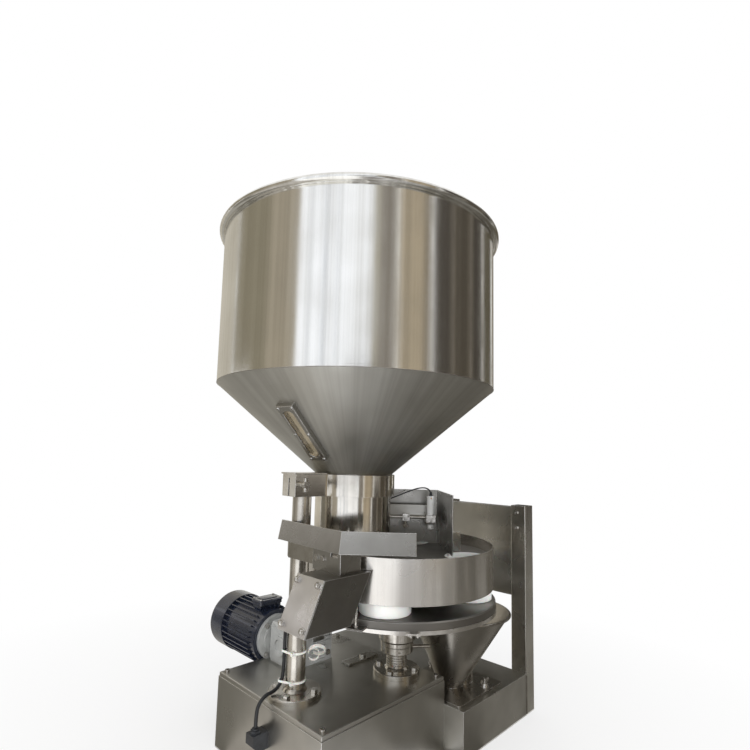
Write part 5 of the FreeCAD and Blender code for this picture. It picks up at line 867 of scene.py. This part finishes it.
@dataclass
class CableRuns:
    """The two fixed cables and the tail of the tie.

    Args:
        column_points: route down the column from the box to the elbow box.
        column_r: radius of that cable.
        sensor_points: route of the sensor lead, along and across the scraper frame.
        sensor_r: radius of the sensor lead.
        tail_at: where the tie's tail starts on the column.
        tail_size: half the tail's width and its thickness.
        tail_shift: sideways drift of each curl.
        curls: radius, lean, drop and turn of each curl of the tail.
    """

    column_points: Sequence[Point] = (
        (-165.0, -102.0, 338.0), (-165.0, -80.0, 338.0), (-155.0, -54.0, 322.0),
        (-143.0, -24.0, 292.0), (-126.5, 0.2, 254.0), (-126.5, 0.2, 188.0), (-134.0, -2.0, 170.0),
        (-152.0, -6.0, 162.5), (-172.0, -8.0, 163.0), (-188.0, -8.5, 150.0), (-191.0, -8.5, 130.0),
        (-191.0, -8.5, 112.0),
    )
    column_r: float = 3.5
    sensor_points: Sequence[Point] = (
        (80.0, 73.0, 523.0), (80.0, 73.0, 531.0), (75.0, 76.0, 539.0), (65.0, 82.0, 542.0),
        (48.0, 91.0, 539.0), (24.0, 98.0, 529.0), (-6.0, 99.0, 516.0), (-32.0, 97.0, 507.0),
        (-53.0, 96.0, 500.5), (-68.0, 106.0, 496.0), (-68.0, 121.0, 496.0),
    )
    sensor_r: float = 1.6
    tail_at: Point = (-96.0, -35.6, 230.0)
    tail_size: Plan = (3.2, 1.4)
    tail_shift: float = 7.0
    curls: Sequence[tuple[float, float, float, float]] = (
        (17.0, 38.0, 0.0, 300.0), (11.22, -46.0, 3.0, 330.0),
    )

    def lay(self, name: str, points: Sequence[Point], radius: float, node: str) -> None:
        """Lays one smooth cable in place of its CAD solid.

        Args:
            name: the piece's name.
            points: its route in millimetres.
            radius: its radius.
            node: the CAD node it stands for.
        """
        line = bpy.data.curves.new(name, "CURVE")
        line.dimensions = "3D"
        spline = line.splines.new("NURBS")
        spline.points.add(len(points) - 1)
        for knot, point in zip(spline.points, points):
            knot.co = (*(Vector(point) * MM), 1.0)
        spline.order_u = 3
        spline.use_endpoint_u = True
        line.resolution_u = 10
        line.bevel_depth = radius * MM
        line.bevel_resolution = 4
        line.use_fill_caps = True
        line.materials.append(SHEATH.material())
        cable = bpy.data.objects.new(name, line)
        bpy.context.scene.collection.objects.link(cable)
        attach(cable, "frame")
        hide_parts(node)
        LOG.info("cable %s stands for %s", name, node)

    def tail(self) -> None:
        """Loose tail of the upper tie, curled in front of the column."""
        blank = Blank("tie_tail")
        start = Matrix.Translation(self.tail_at) @ Matrix.Rotation(math.radians(-45.0), 4, "Z")
        for radius, lean, drop, turned in self.curls:
            lowered = start @ Matrix.Translation((0.0, 0.0, -drop))
            place = lowered @ Matrix.Rotation(math.radians(lean), 4, "X")
            blank.strip(*self.tail_size, radius, turned, self.tail_shift, place)
        blank.finish(TIE_WHITE, "frame", "tie_white")

    def build(self) -> None:
        """Lays both cables and the tail."""
        self.lay("column_cable_run", self.column_points, self.column_r, "column_cable")
        route = [from_scraper(*point) for point in self.sensor_points]
        self.lay("sensor_lead_run", route, self.sensor_r, "sensor_cable")
        self.tail()


@dataclass
class SensorTrim:
    """Nuts, lead boot and lamp of the level sensor.

    Args:
        axis: the sensor's axis in plan.
        barrel_r: radius of the threaded barrel.
        body_r: radius of the housing.
        barrel_z: lowest and highest point of the bare barrel.
        top_z: top of the housing.
        pitch: distance between thread crests.
        crest_r: radius of a crest.
        nut_r: radius of the lock nut's corners.
        nut_z: lowest and highest point of the lock nut.
        ring_z: heights of the housing's rings.
        lamp_z: height of the lamp.
        lamp_r: radius of the lamp.
    """

    axis: Plan = (219.2, -90.0)
    barrel_r: float = 7.0
    body_r: float = 9.0
    barrel_z: Plan = (446.0, 460.0)
    top_z: float = 523.0
    pitch: float = 1.75
    crest_r: float = 0.35
    nut_r: float = 11.5
    nut_z: Plan = (457.0, 461.0)
    ring_z: Plan = (484.0, 515.5)
    lamp_z: float = 518.5
    lamp_r: float = 1.6

    def threads(self) -> None:
        """Thread crests on the barrel."""
        blank = Blank("sensor_barrel_thread")
        low, high = self.barrel_z
        for i in range(int((high - low) / self.pitch)):
            crest = Matrix.Translation((*self.axis, low + 1.0 + self.pitch * i))
            bead(blank, self.barrel_r, self.crest_r, crest, steps=40)
        blank.finish(FASTENER, "frame", "fastener_steel")

    def nut(self) -> None:
        """Lock nut under the clamp."""
        blank = Blank("sensor_lock_nut")
        low, high = self.nut_z
        blank.prism(6, self.nut_r, high - low, Matrix.Translation((*self.axis, low)))
        blank.finish(FASTENER, "frame", "fastener_steel")

    def bands(self) -> None:
        """Cap line and potentiometer cover of the housing."""
        blank = Blank("sensor_cap_rings")
        for z in self.ring_z:
            bead(blank, self.body_r, 0.5, Matrix.Translation((*self.axis, z)), steps=48)
        blank.finish(SENSOR_PLASTIC, "frame", "sensor_white")

    def boot(self) -> None:
        """Tapered boot where the lead leaves the housing."""
        blank = Blank("sensor_lead_boot")
        outline = [(1.7, 0.0), (4.6, 0.0), (4.6, 2.0), (3.6, 2.6), (3.4, 5.0), (2.4, 10.0), (1.7, 10.0)]
        blank.turn(outline, Matrix.Translation((*self.axis, self.top_z)), steps=32)
        blank.finish(GLAND, "frame", "gland_plastic")

    def lamp(self) -> None:
        """Small lens in the housing's side."""
        blank = Blank("sensor_lamp")
        side = Vector((-0.7071, -0.7071, 0.0))
        at = Vector((*self.axis, self.lamp_z)) + side * (self.body_r - 0.3)
        pan_screw(blank, tuple(at), side, self.lamp_r)
        blank.finish(LAMP, "frame", "sensor_white")

    def build(self) -> None:
        """Makes every piece of the sensor's trim."""
        self.threads()
        self.nut()
        self.bands()
        self.boot()
        self.lamp()


@dataclass
class MotorTrim:
    """Bolts, covers and grille of the motor.

    Args:
        axis_x: the motor axis across the machine.
        axis_z: its height.
        flange_y: face of the end shield.
        cowl_y: rear face of the fan cowl.
        bolt_pitch: radius of the end shield's bolts.
        box_x: lowest and highest X of the terminal box.
        box_y: its lowest and highest Y.
        box_z: its top.
        ring_r: radii of the grille's rings.
        wire_r: radius of their wire.
        spokes: number of spokes.
        spoke: length, width and depth of a spoke.
        spoke_mid: distance of its middle from the axis.
        shield: depth of the end shield.
        lid_inset: distance of the lid's screws from its edges.
        lid_field: size of the lid's raised field.
    """

    axis_x: float = -28.0
    axis_z: float = 190.0
    flange_y: float = 170.5
    cowl_y: float = 362.5
    bolt_pitch: float = 51.0
    box_x: Plan = (-60.0, 4.0)
    box_y: Plan = (190.5, 230.5)
    box_z: float = 269.0
    ring_r: Sequence[float] = (12.0, 22.0, 32.0, 42.0)
    wire_r: float = 1.1
    spokes: int = 8
    spoke: Point = (34.0, 1.8, 1.8)
    spoke_mid: float = 27.0
    shield: float = 12.0
    lid_inset: float = 5.0
    lid_field: Point = (42.0, 24.0, 2.4)

    def grille(self) -> None:
        """Rings and spokes over the fan opening."""
        blank = Blank("fan_grille")
        middle = Matrix.Translation((self.axis_x, self.cowl_y - 0.6, self.axis_z))
        rear = middle @ Matrix.Rotation(math.radians(-90.0), 4, "X")
        for radius in self.ring_r:
            bead(blank, radius, self.wire_r, rear, steps=64)
        for i in range(self.spokes):
            turned = rear @ Matrix.Rotation(FULL_TURN * i / self.spokes, 4, "Z")
            blank.block(self.spoke, turned @ Matrix.Translation((self.spoke_mid, 0.0, 0.0)))
        blank.finish(MOTOR_BLACK, "frame", "motor_black")

    def shield_bolts(self) -> None:
        """Four hexagon heads on the gear-side shield."""
        blank = Blank("motor_shield_bolts")
        for i in range(4):
            angle = math.radians(45.0 + 90.0 * i)
            at = (self.axis_x + self.bolt_pitch * math.cos(angle), self.flange_y + self.shield,
                  self.axis_z + self.bolt_pitch * math.sin(angle))
            hex_screw(blank, at, Vector((0.0, 1.0, 0.0)), 5.2, 4.5)
        blank.finish(FASTENER, "frame", "fastener_steel")

    def box_screws(self) -> None:
        """Four screws of the terminal box lid."""
        blank = Blank("terminal_lid_screws")
        for x in (self.box_x[0] + self.lid_inset, self.box_x[1] - self.lid_inset):
            for y in (self.box_y[0] + self.lid_inset, self.box_y[1] - self.lid_inset):
                pan_screw(blank, (x, y, self.box_z), UP, 3.0)
        blank.finish(FASTENER, "frame", "fastener_steel")

    def lid(self) -> None:
        """Raised field of the terminal box lid."""
        blank = Blank("terminal_lid_field")
        middle = (sum(self.box_x) / 2, sum(self.box_y) / 2, self.box_z)
        blank.block(self.lid_field, Matrix.Translation(middle), bevel=0.9)
        blank.finish(MOTOR_BLACK, "frame", "motor_black")

    def build(self) -> None:
        """Makes every piece of the motor's trim."""
        self.grille()
        self.shield_bolts()
        self.box_screws()
        self.lid()


@dataclass
class GearboxTrim:
    """Cover bolts, plugs and bare plate of the worm gearbox.

    Args:
        cover_at: centre of the upper bearing cover.
        cover_pitch: radius of its bolts.
        worm_at: centre of the worm's end cap.
        worm_pitch: radius of that cap's screws.
        face_y: the gearbox's front face.
        left_x: the gearbox's left face.
        plugs_at: places of the oil plugs on the front face.
        plate_at: middle of the bare plate on the front face.
        plate_size: width, thickness and height of the plate.
        rivet_x: places of its two rivets.
        ribs_z: heights of the ribs on the front face.
        rib_x: middle of the front ribs.
        rib_y: middle of the left ribs.
        rib_rise: how much higher the left ribs sit.
    """

    cover_at: Point = (12.0, 112.0, 238.0)
    cover_pitch: float = 28.0
    worm_at: Point = (-28.0, 61.0, 190.0)
    worm_pitch: float = 15.5
    face_y: float = 66.0
    left_x: float = -54.0
    plugs_at: Sequence[Plan] = ((44.0, 216.0), (44.0, 166.0))
    plate_at: Plan = (16.0, 205.0)
    plate_size: Point = (32.0, 0.8, 18.0)
    rivet_x: Plan = (2.5, 29.5)
    ribs_z: Sequence[float] = (156.0, 165.0, 174.0, 183.0, 192.0)
    rib_x: float = 16.0
    rib_y: float = 106.0
    rib_rise: float = 20.0

    def cover_bolts(self) -> None:
        """Six heads round the upper cover."""
        blank = Blank("gearbox_cover_bolts")
        for i in range(6):
            angle = math.radians(60.0 * i + 15.0)
            at = (self.cover_at[0] + self.cover_pitch * math.cos(angle),
                  self.cover_at[1] + self.cover_pitch * math.sin(angle), self.cover_at[2])
            hex_screw(blank, at, UP, 4.4, 3.6)
        for i in range(3):
            angle = math.radians(120.0 * i + 90.0)
            at = (self.worm_at[0] + self.worm_pitch * math.cos(angle), self.worm_at[1],
                  self.worm_at[2] + self.worm_pitch * math.sin(angle))
            pan_screw(blank, at, Vector((0.0, -1.0, 0.0)), 2.6)
        blank.finish(FASTENER, "frame", "fastener_steel")

    def plugs(self) -> None:
        """Filler and level plugs on the front face."""
        blank = Blank("gearbox_oil_plugs")
        for x, z in self.plugs_at:
            hex_screw(blank, (x, self.face_y, z), Vector((0.0, -1.0, 0.0)), 6.5, 4.5)
        blank.finish(FASTENER, "frame", "fastener_steel")

    def plate(self) -> None:
        """Bare riveted plate on the front face."""
        blank = Blank("gearbox_bare_plate")
        x, z = self.plate_at
        blank.block(self.plate_size, Matrix.Translation((x, self.face_y - 0.3, z)), bevel=0.25)
        for rivet in self.rivet_x:
            pan_screw(blank, (rivet, self.face_y - 0.6, z), Vector((0.0, -1.0, 0.0)), 1.3)
        blank.finish(ALUMINIUM, "frame", "pulley_aluminium")

    def ribs(self) -> None:
        """Cooling ribs across the front and left faces."""
        blank = Blank("gearbox_ribs")
        for height in self.ribs_z:
            front = Matrix.Translation((self.rib_x, self.face_y - 1.6, height))
            left = Matrix.Translation((self.left_x - 1.4, self.rib_y, height + self.rib_rise))
            blank.block((40.0, 5.0, 3.2), front, bevel=0.8)
            blank.block((5.0, 46.0, 3.2), left, bevel=0.8)
        blank.finish(CAST_GREY, "frame", "cast_grey")

    def build(self) -> None:
        """Makes every piece of the gearbox's trim."""
        self.cover_bolts()
        self.ribs()
        self.plugs()
        self.plate()


@dataclass
class FrameTrim:
    """Weld beads and washers on the fixed frame.

    Args:
        post_y: axes of the two posts across the deck.
        post_half: half a post's side.
        deck_x: the deck's end face, which the posts stand against.
        deck_z: height of the deck.
        plate_thick: thickness of the funnel's plate on it.
        wing_studs: places of the wing nuts.
        washer: radius and height of each corner of a washer.
        weld_r: radius of the welds.
        weld_short: how far the welds stay from floor and deck.
    """

    post_y: Sequence[float] = (-199.0, 24.0)
    post_half: float = 20.0
    deck_x: float = 440.0
    deck_z: float = 95.0
    plate_thick: float = 4.0
    wing_studs: Sequence[Plan] = ((294.0, -192.0), (294.0, -46.0))
    washer: Profile = ((4.2, 0.0), (9.0, 0.0), (9.0, 1.4), (4.2, 1.4))
    weld_r: float = 2.0
    weld_short: float = 4.0

    def post_welds(self) -> None:
        """Upright fillet welds between the posts and the deck's end face."""
        blank = Blank("post_welds")
        for middle in self.post_y:
            for side in (-1.0, 1.0):
                foot = (self.deck_x + 0.4, middle + side * self.post_half, self.weld_short)
                blank.prism(10, self.weld_r, self.deck_z - 2.0 * self.weld_short, Matrix.Translation(foot))
        blank.finish(WELD, "frame", "sheet_steel")

    def washers(self) -> None:
        """Washers under the wing nuts."""
        blank = Blank("wing_nut_washers")
        for x, y in self.wing_studs:
            seat = Matrix.Translation((x, y, self.deck_z + self.plate_thick))
            blank.turn(self.washer, seat, steps=32)
        blank.finish(FASTENER, "frame", "fastener_steel")

    def build(self) -> None:
        """Makes every piece of the frame's trim."""
        self.post_welds()
        self.washers()


@dataclass
class ScrewTrim:
    """Knurled rims of the sensor's thumb screws.

    Args:
        places: the screws, along and across the scraper.
        rim_r: radius of the knurled rim.
        low_z: underside of the heads.
        height: height of the knurling.
        teeth: ridges round a rim.
        tooth_r: radius of a ridge.
    """

    places: Sequence[Plan] = ((23.0, 91.5), (80.0, 91.5))
    rim_r: float = 6.4
    low_z: float = 445.5
    height: float = 7.0
    teeth: int = 18
    tooth_r: float = 0.9

    def build(self) -> None:
        """Star-shaped rims that stand a little proud of the heads."""
        blank = Blank("thumb_screw_knurling")
        out = Matrix.Translation((self.rim_r - 0.6, 0.0, 0.0))
        for along, across in self.places:
            middle = Matrix.Translation(from_scraper(along, across, self.low_z))
            for i in range(self.teeth):
                turned = middle @ Matrix.Rotation(FULL_TURN * i / self.teeth, 4, "Z")
                blank.prism(4, self.tooth_r, self.height, turned @ out)
        blank.finish(TURNED, "frame", "bright_steel", smooth_angle=20.0)


# Studio and camera


@dataclass(frozen=True)
class Card:
    """One studio card that the steel mirrors, standing round the machine or lying on the floor.

    Args:
        start: where it begins round the machine, in degrees.
        end: where it ends.
        tone: its colour.
        gain: its brightness, one being plain.
        low: its lowest point in metres, if it stands.
        high: its highest point in metres, if it stands.
        flat: whether it lies on the floor.
    """

    start: float
    end: float
    tone: str
    gain: float = 1.0
    low: float = -0.05
    high: float = 3.6
    flat: bool = False


@dataclass(frozen=True)
class Lamp:
    """One soft square lamp.

    Args:
        name: its name.
        at: its place in metres.
        aim_at: the point it faces, in metres.
        size: side of its square in metres.
        power: its power in watts.
    """

    name: str
    at: Point
    aim_at: Point
    size: float
    power: float


@dataclass
class Studio:
    """Floor, soft light and cards round the machine.

    Args:
        floor_r: radius of the floor in metres.
        near: distance at which the floor starts to fade to white.
        far: distance at which it is white.
        card_r: distance of the upright cards in metres.
        flat_r: inner radius of the lying cards in metres.
        flat_z: height of the lying cards in metres.
        centre: middle of the cards.
        sky: level of the soft light from all round.
        cards: the cards' places and tones.
        lamps: the lamps that light paint and plastic.
    """

    floor_r: float = 9.0
    near: float = 0.3
    far: float = 1.3
    card_r: float = 3.2
    flat_r: float = 0.2
    flat_z: float = 0.003
    centre: Plan = (0.02, -0.03)
    sky: float = 0.8
    cards: Sequence[Card] = (
        Card(-178.6, -171.0, "F6F9FF", 1.3), Card(-171.0, -169.5, "CDD3DC"),
        Card(-169.5, -160.0, "F6F9FF", 1.3), Card(-160.0, -157.5, "C4CAD4"),
        Card(-157.5, -150.0, "F6F9FF", 1.3), Card(-150.0, -148.5, "CDD3DC"),
        Card(-148.5, -143.0, "F6F9FF", 1.3, low=0.5), Card(-148.5, -143.0, "F6F9FF", 1.6, high=0.5),
        Card(-143.0, -136.0, "F6F9FF", 1.3, low=1.25), Card(-143.0, -136.0, "8A877F", low=0.5, high=1.25),
        Card(-143.0, -136.0, "F6F9FF", 1.6, high=0.5), Card(-136.0, -124.0, "F6F9FF", 1.25, low=1.25),
        Card(-124.0, -119.0, "B5AF9E", low=1.25), Card(-136.0, -119.0, "5F5C56", low=0.5, high=1.25),
        Card(-136.0, -119.0, "F6F9FF", 1.45, high=0.5), Card(-119.0, -107.0, "88827A"),
        Card(-107.0, -104.0, "F4F2EE"), Card(-104.0, -98.0, "B3A690"), Card(-98.0, -96.5, "8E8474"),
        Card(-96.5, -85.0, "B3A690"), Card(-85.0, -79.0, "8E8474"), Card(-76.0, -58.0, "4F4A44", low=0.6),
        Card(-76.0, -58.0, "CFCBC5", 1.2, low=0.45, high=0.6), Card(-76.0, -58.0, "4F4A44", high=0.45),
        Card(-58.0, -56.5, "A79F92"), Card(-56.5, -38.0, "524C43"), Card(-38.0, -36.0, "9C9488"),
        Card(-36.0, -20.0, "4A453F"), Card(-20.0, -17.0, "F2F0EC"), Card(-17.0, 3.0, "5C5648"),
        Card(3.0, 8.0, "F2F0EC"), Card(8.0, 16.0, "8A8272"), Card(16.0, 50.0, "45433E"),
        Card(50.0, 66.0, "DAD8D2"), Card(66.0, 116.0, "CAC4B7"), Card(118.0, 141.0, "7A766B", high=0.5),
        Card(141.0, 181.0, "A9A294", high=0.5), Card(118.0, 181.0, "A8A39D", low=0.5, high=0.95),
        Card(118.0, 141.0, "E6E4E4", 1.2, low=0.95, high=1.22), Card(141.0, 155.0, "928B79", low=0.95),
        Card(118.0, 141.0, "928B79", low=1.22), Card(155.0, 181.0, "A89F8E", low=0.95),
        Card(-178.0, -135.0, "FFFFFF", 1.35, flat=True), Card(-135.0, -118.0, "979390", flat=True),
        Card(-118.0, -112.0, "E4E3E1", flat=True), Card(-112.0, -104.0, "A7A5A3", flat=True),
        Card(-104.0, -100.0, "D8D6D3", flat=True), Card(-100.0, -92.0, "A09E9B", flat=True),
        Card(-92.0, -89.0, "DAD8D4", flat=True), Card(-89.0, -75.0, "8D8B87", flat=True),
        Card(-75.0, -72.0, "B5B1AA", flat=True), Card(-72.0, -58.0, "65625C", flat=True),
        Card(-58.0, -55.0, "9A968E", flat=True), Card(-55.0, -40.0, "67645E", flat=True),
        Card(-40.0, -20.0, "86837D", flat=True), Card(-20.0, 20.0, "5E5A52", flat=True),
        Card(20.0, 118.0, "B0ADA6", flat=True), Card(118.0, 140.0, "7F7C74", flat=True),
        Card(140.0, 181.0, "C4BFB8", flat=True),
    )
    lamps: Sequence[Lamp] = (
        Lamp("key_lamp", (-2.4, -0.2, 2.2), (0.1, -0.05, 0.4), 1.6, 24.0),
        Lamp("low_lamp", (-1.1, -1.7, 0.72), (0.2, -0.1, 0.5), 0.7, 7.0),
        Lamp("fill_lamp", (-0.5, -2.9, 0.9), (0.12, -0.08, 0.48), 1.6, 19.0),
    )

    def white_rays(self, tree: bpy.types.NodeTree) -> bpy.types.NodeSocket:
        """Share that is one for rays that show the background.

        Args:
            tree: nodes that get the test.

        Returns:
            One for camera, glossy and transmission rays, and else nothing.
        """
        path = add_node(tree, "ShaderNodeLightPath")
        first = add_node(
            tree, "ShaderNodeMath",
            links={0: path.outputs["Is Camera Ray"], 1: path.outputs["Is Glossy Ray"]}, operation="MAXIMUM",
        )
        return add_node(
            tree, "ShaderNodeMath",
            links={0: first.outputs["Value"], 1: path.outputs["Is Transmission Ray"]}, operation="MAXIMUM",
        ).outputs["Value"]

    def world(self) -> None:
        """White for what shows the background and a plain soft level for the rest."""
        made = bpy.data.worlds.new("studio_air")
        tree = emptied(made)
        soft = add_node(tree, "ShaderNodeBackground", {"Color": linear("F7F8FA"), "Strength": self.sky})
        white = add_node(tree, "ShaderNodeBackground", {"Color": linear("FFFFFF"), "Strength": 1.0})
        mixed = add_node(
            tree, "ShaderNodeMixShader",
            links={0: self.white_rays(tree), 1: soft.outputs["Background"], 2: white.outputs["Background"]},
        )
        add_node(tree, "ShaderNodeOutputWorld", links={"Surface": mixed.outputs["Shader"]})
        bpy.context.scene.world = made

    def stage_object(
        self, name: str, mesh: bmesh.types.BMesh, material: bpy.types.Material
    ) -> bpy.types.Object:
        """Adds a part of the studio that isn't part of the machine.

        Args:
            name: its name.
            mesh: its shape in metres.
            material: its material.

        Returns:
            The stage object.
        """
        data = bpy.data.meshes.new(name)
        mesh.to_mesh(data)
        mesh.free()
        data.materials.append(material)
        part = bpy.data.objects.new(name, data)
        bpy.context.scene.collection.objects.link(part)
        return part

    def floor(self) -> None:
        """Pale floor that takes the machine's shadow and fades to white far off."""
        made = bpy.data.materials.new("pale_studio_floor")
        tree = emptied(made)
        where = add_node(tree, "ShaderNodeTexCoord").outputs["Object"]
        away = add_node(tree, "ShaderNodeVectorMath", links={0: where}, operation="LENGTH")
        fade = add_node(
            tree, "ShaderNodeMapRange", {"From Min": self.near, "From Max": self.far, "To Min": 0.6},
            {"Value": away.outputs["Value"]},
        )
        share = add_node(
            tree, "ShaderNodeMath", links={0: fade.outputs["Result"], 1: self.white_rays(tree)},
            operation="MULTIPLY",
        )
        paint = add_node(tree, "ShaderNodeBsdfDiffuse", {"Color": linear("F4F3F1")})
        glow = add_node(tree, "ShaderNodeEmission", {"Color": linear("FFFFFF"), "Strength": 1.0})
        mixed = add_node(
            tree, "ShaderNodeMixShader",
            links={0: share.outputs["Value"], 1: paint.outputs["BSDF"], 2: glow.outputs["Emission"]},
        )
        add_node(tree, "ShaderNodeOutputMaterial", links={"Surface": mixed.outputs["Shader"]})
        disc = bmesh.new()
        bmesh.ops.create_circle(disc, cap_ends=True, segments=96, radius=self.floor_r,
                                matrix=Matrix.Translation((0.1, -0.05, -0.0006)))
        self.stage_object("studio_floor", disc, made)

    def card(self, number: int, card: Card) -> None:
        """Sets one card up, seen only in reflections.

        Args:
            number: its place in the list.
            card: its reach and tone.
        """
        made = bpy.data.materials.new(f"studio_card_{number}")
        tree = emptied(made)
        glow = add_node(tree, "ShaderNodeEmission", {"Color": linear(card.tone), "Strength": card.gain})
        add_node(tree, "ShaderNodeOutputMaterial", links={"Surface": glow.outputs["Emission"]})
        lying = ((self.flat_r, self.flat_z), (self.card_r, self.flat_z))
        standing = ((self.card_r, card.low), (self.card_r, card.high))
        angle = math.radians(card.start)
        sheet = bmesh.new()
        ends = [sheet.verts.new((self.centre[0] + reach * math.cos(angle),
                                 self.centre[1] + reach * math.sin(angle), height))
                for reach, height in (lying if card.flat else standing)]
        bmesh.ops.spin(
            sheet, geom=[*ends, sheet.edges.new(ends)], cent=(*self.centre, 0.0), axis=(0.0, 0.0, 1.0),
            dvec=(0.0, 0.0, 0.0), angle=math.radians(card.end - card.start),
            steps=max(2, int((card.end - card.start) / 4)), use_merge=False,
        )
        part = self.stage_object(f"studio_card_{number}", sheet, made)
        part.visible_camera = False
        part.visible_shadow = False
        part.visible_diffuse = False
        part.visible_transmission = False

    def hang(self, lamp: Lamp) -> None:
        """Hangs one soft lamp that no steel mirrors.

        Args:
            lamp: its place, size and power.
        """
        light = bpy.data.lights.new(lamp.name, "AREA")
        light.size = lamp.size
        light.energy = lamp.power
        holder = bpy.data.objects.new(lamp.name, light)
        holder.location = lamp.at
        holder.rotation_mode = "QUATERNION"
        holder.rotation_quaternion = (Vector(lamp.aim_at) - Vector(lamp.at)).to_track_quat("-Z", "Y")
        holder.visible_glossy = False
        bpy.context.scene.collection.objects.link(holder)

    def build(self) -> None:
        """Builds the whole studio."""
        self.world()
        self.floor()
        for number, card in enumerate(self.cards):
            self.card(number, card)
        for lamp in self.lamps:
            self.hang(lamp)
        LOG.info("studio with %d cards", len(self.cards))


@dataclass
class PhotoCamera:
    """Camera at the photograph's place.

    Args:
        place: its place in millimetres.
        ahead: level heading.
        pitch: tilt up, in radians.
        roll: turn about the view, in radians.
        focal_px: focal length in pixels.
        centre_px: pixel of the optical axis.
        picture_px: side of the square picture.
        film_mm: width of the sensor.
        near_m: nearest distance that it sees.
        far_m: farthest distance that it sees.
    """

    place: Point = (-735.6, -822.0, 610.0)
    ahead: Plan = (0.7109, 0.7033)
    pitch: float = 0.1054
    roll: float = 0.0253
    focal_px: float = 491.03
    centre_px: Plan = (370.03, 405.96)
    picture_px: float = 750.0
    film_mm: float = 36.0
    near_m: float = 0.02
    far_m: float = 60.0

    def build(self) -> None:
        """Places the camera and sets its lens and shift."""
        lens = bpy.data.cameras.new("photo_camera")
        lens.sensor_width = self.film_mm
        lens.lens = self.focal_px * self.film_mm / self.picture_px
        middle = self.picture_px / 2.0
        lens.shift_x = (middle - self.centre_px[0]) / self.picture_px
        lens.shift_y = (self.centre_px[1] - middle) / self.picture_px
        lens.clip_start = self.near_m
        lens.clip_end = self.far_m
        level = Vector((*self.ahead, 0.0)).normalized()
        forward = level * math.cos(self.pitch) + UP * math.sin(self.pitch)
        right = level.cross(UP).normalized()
        upward = right.cross(forward).normalized()
        across = right * math.cos(self.roll) + upward * math.sin(self.roll)
        above = upward * math.cos(self.roll) - right * math.sin(self.roll)
        turn = Matrix((across, above, -forward)).transposed().to_4x4()
        camera = bpy.data.objects.new("photo_camera", lens)
        camera.matrix_world = Matrix.Translation(Vector(self.place) * MM) @ turn
        bpy.context.scene.collection.objects.link(camera)
        bpy.context.scene.camera = camera


def dress_nodes() -> None:
    """Gives every CAD node its finish."""
    for name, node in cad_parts.items():
        material = NODE_FINISHES[name].material()
        if not node.material_slots:
            node.data.materials.append(material)
        for held in node.material_slots:
            held.material = material
        LOG.info("node %s in %s", name, material.name)


def write_sizes() -> None:
    """Brings the scene's transforms up to date."""
    bpy.context.view_layer.update()


def main() -> None:
    """Builds the finishes, the trim, the studio and the camera."""
    logging.basicConfig(level=logging.INFO, format="%(name)s: %(message)s")
    bpy.context.scene.view_settings.view_transform = "Standard"
    dress_nodes()
    trims = (HopperTrim, CableRuns, SensorTrim, MotorTrim, GearboxTrim, FrameTrim, ScrewTrim)
    for trim in trims:
        trim().build()
    Studio().build()
    PhotoCamera().build()
    write_sizes()


if __name__ == "__main__":
    main()
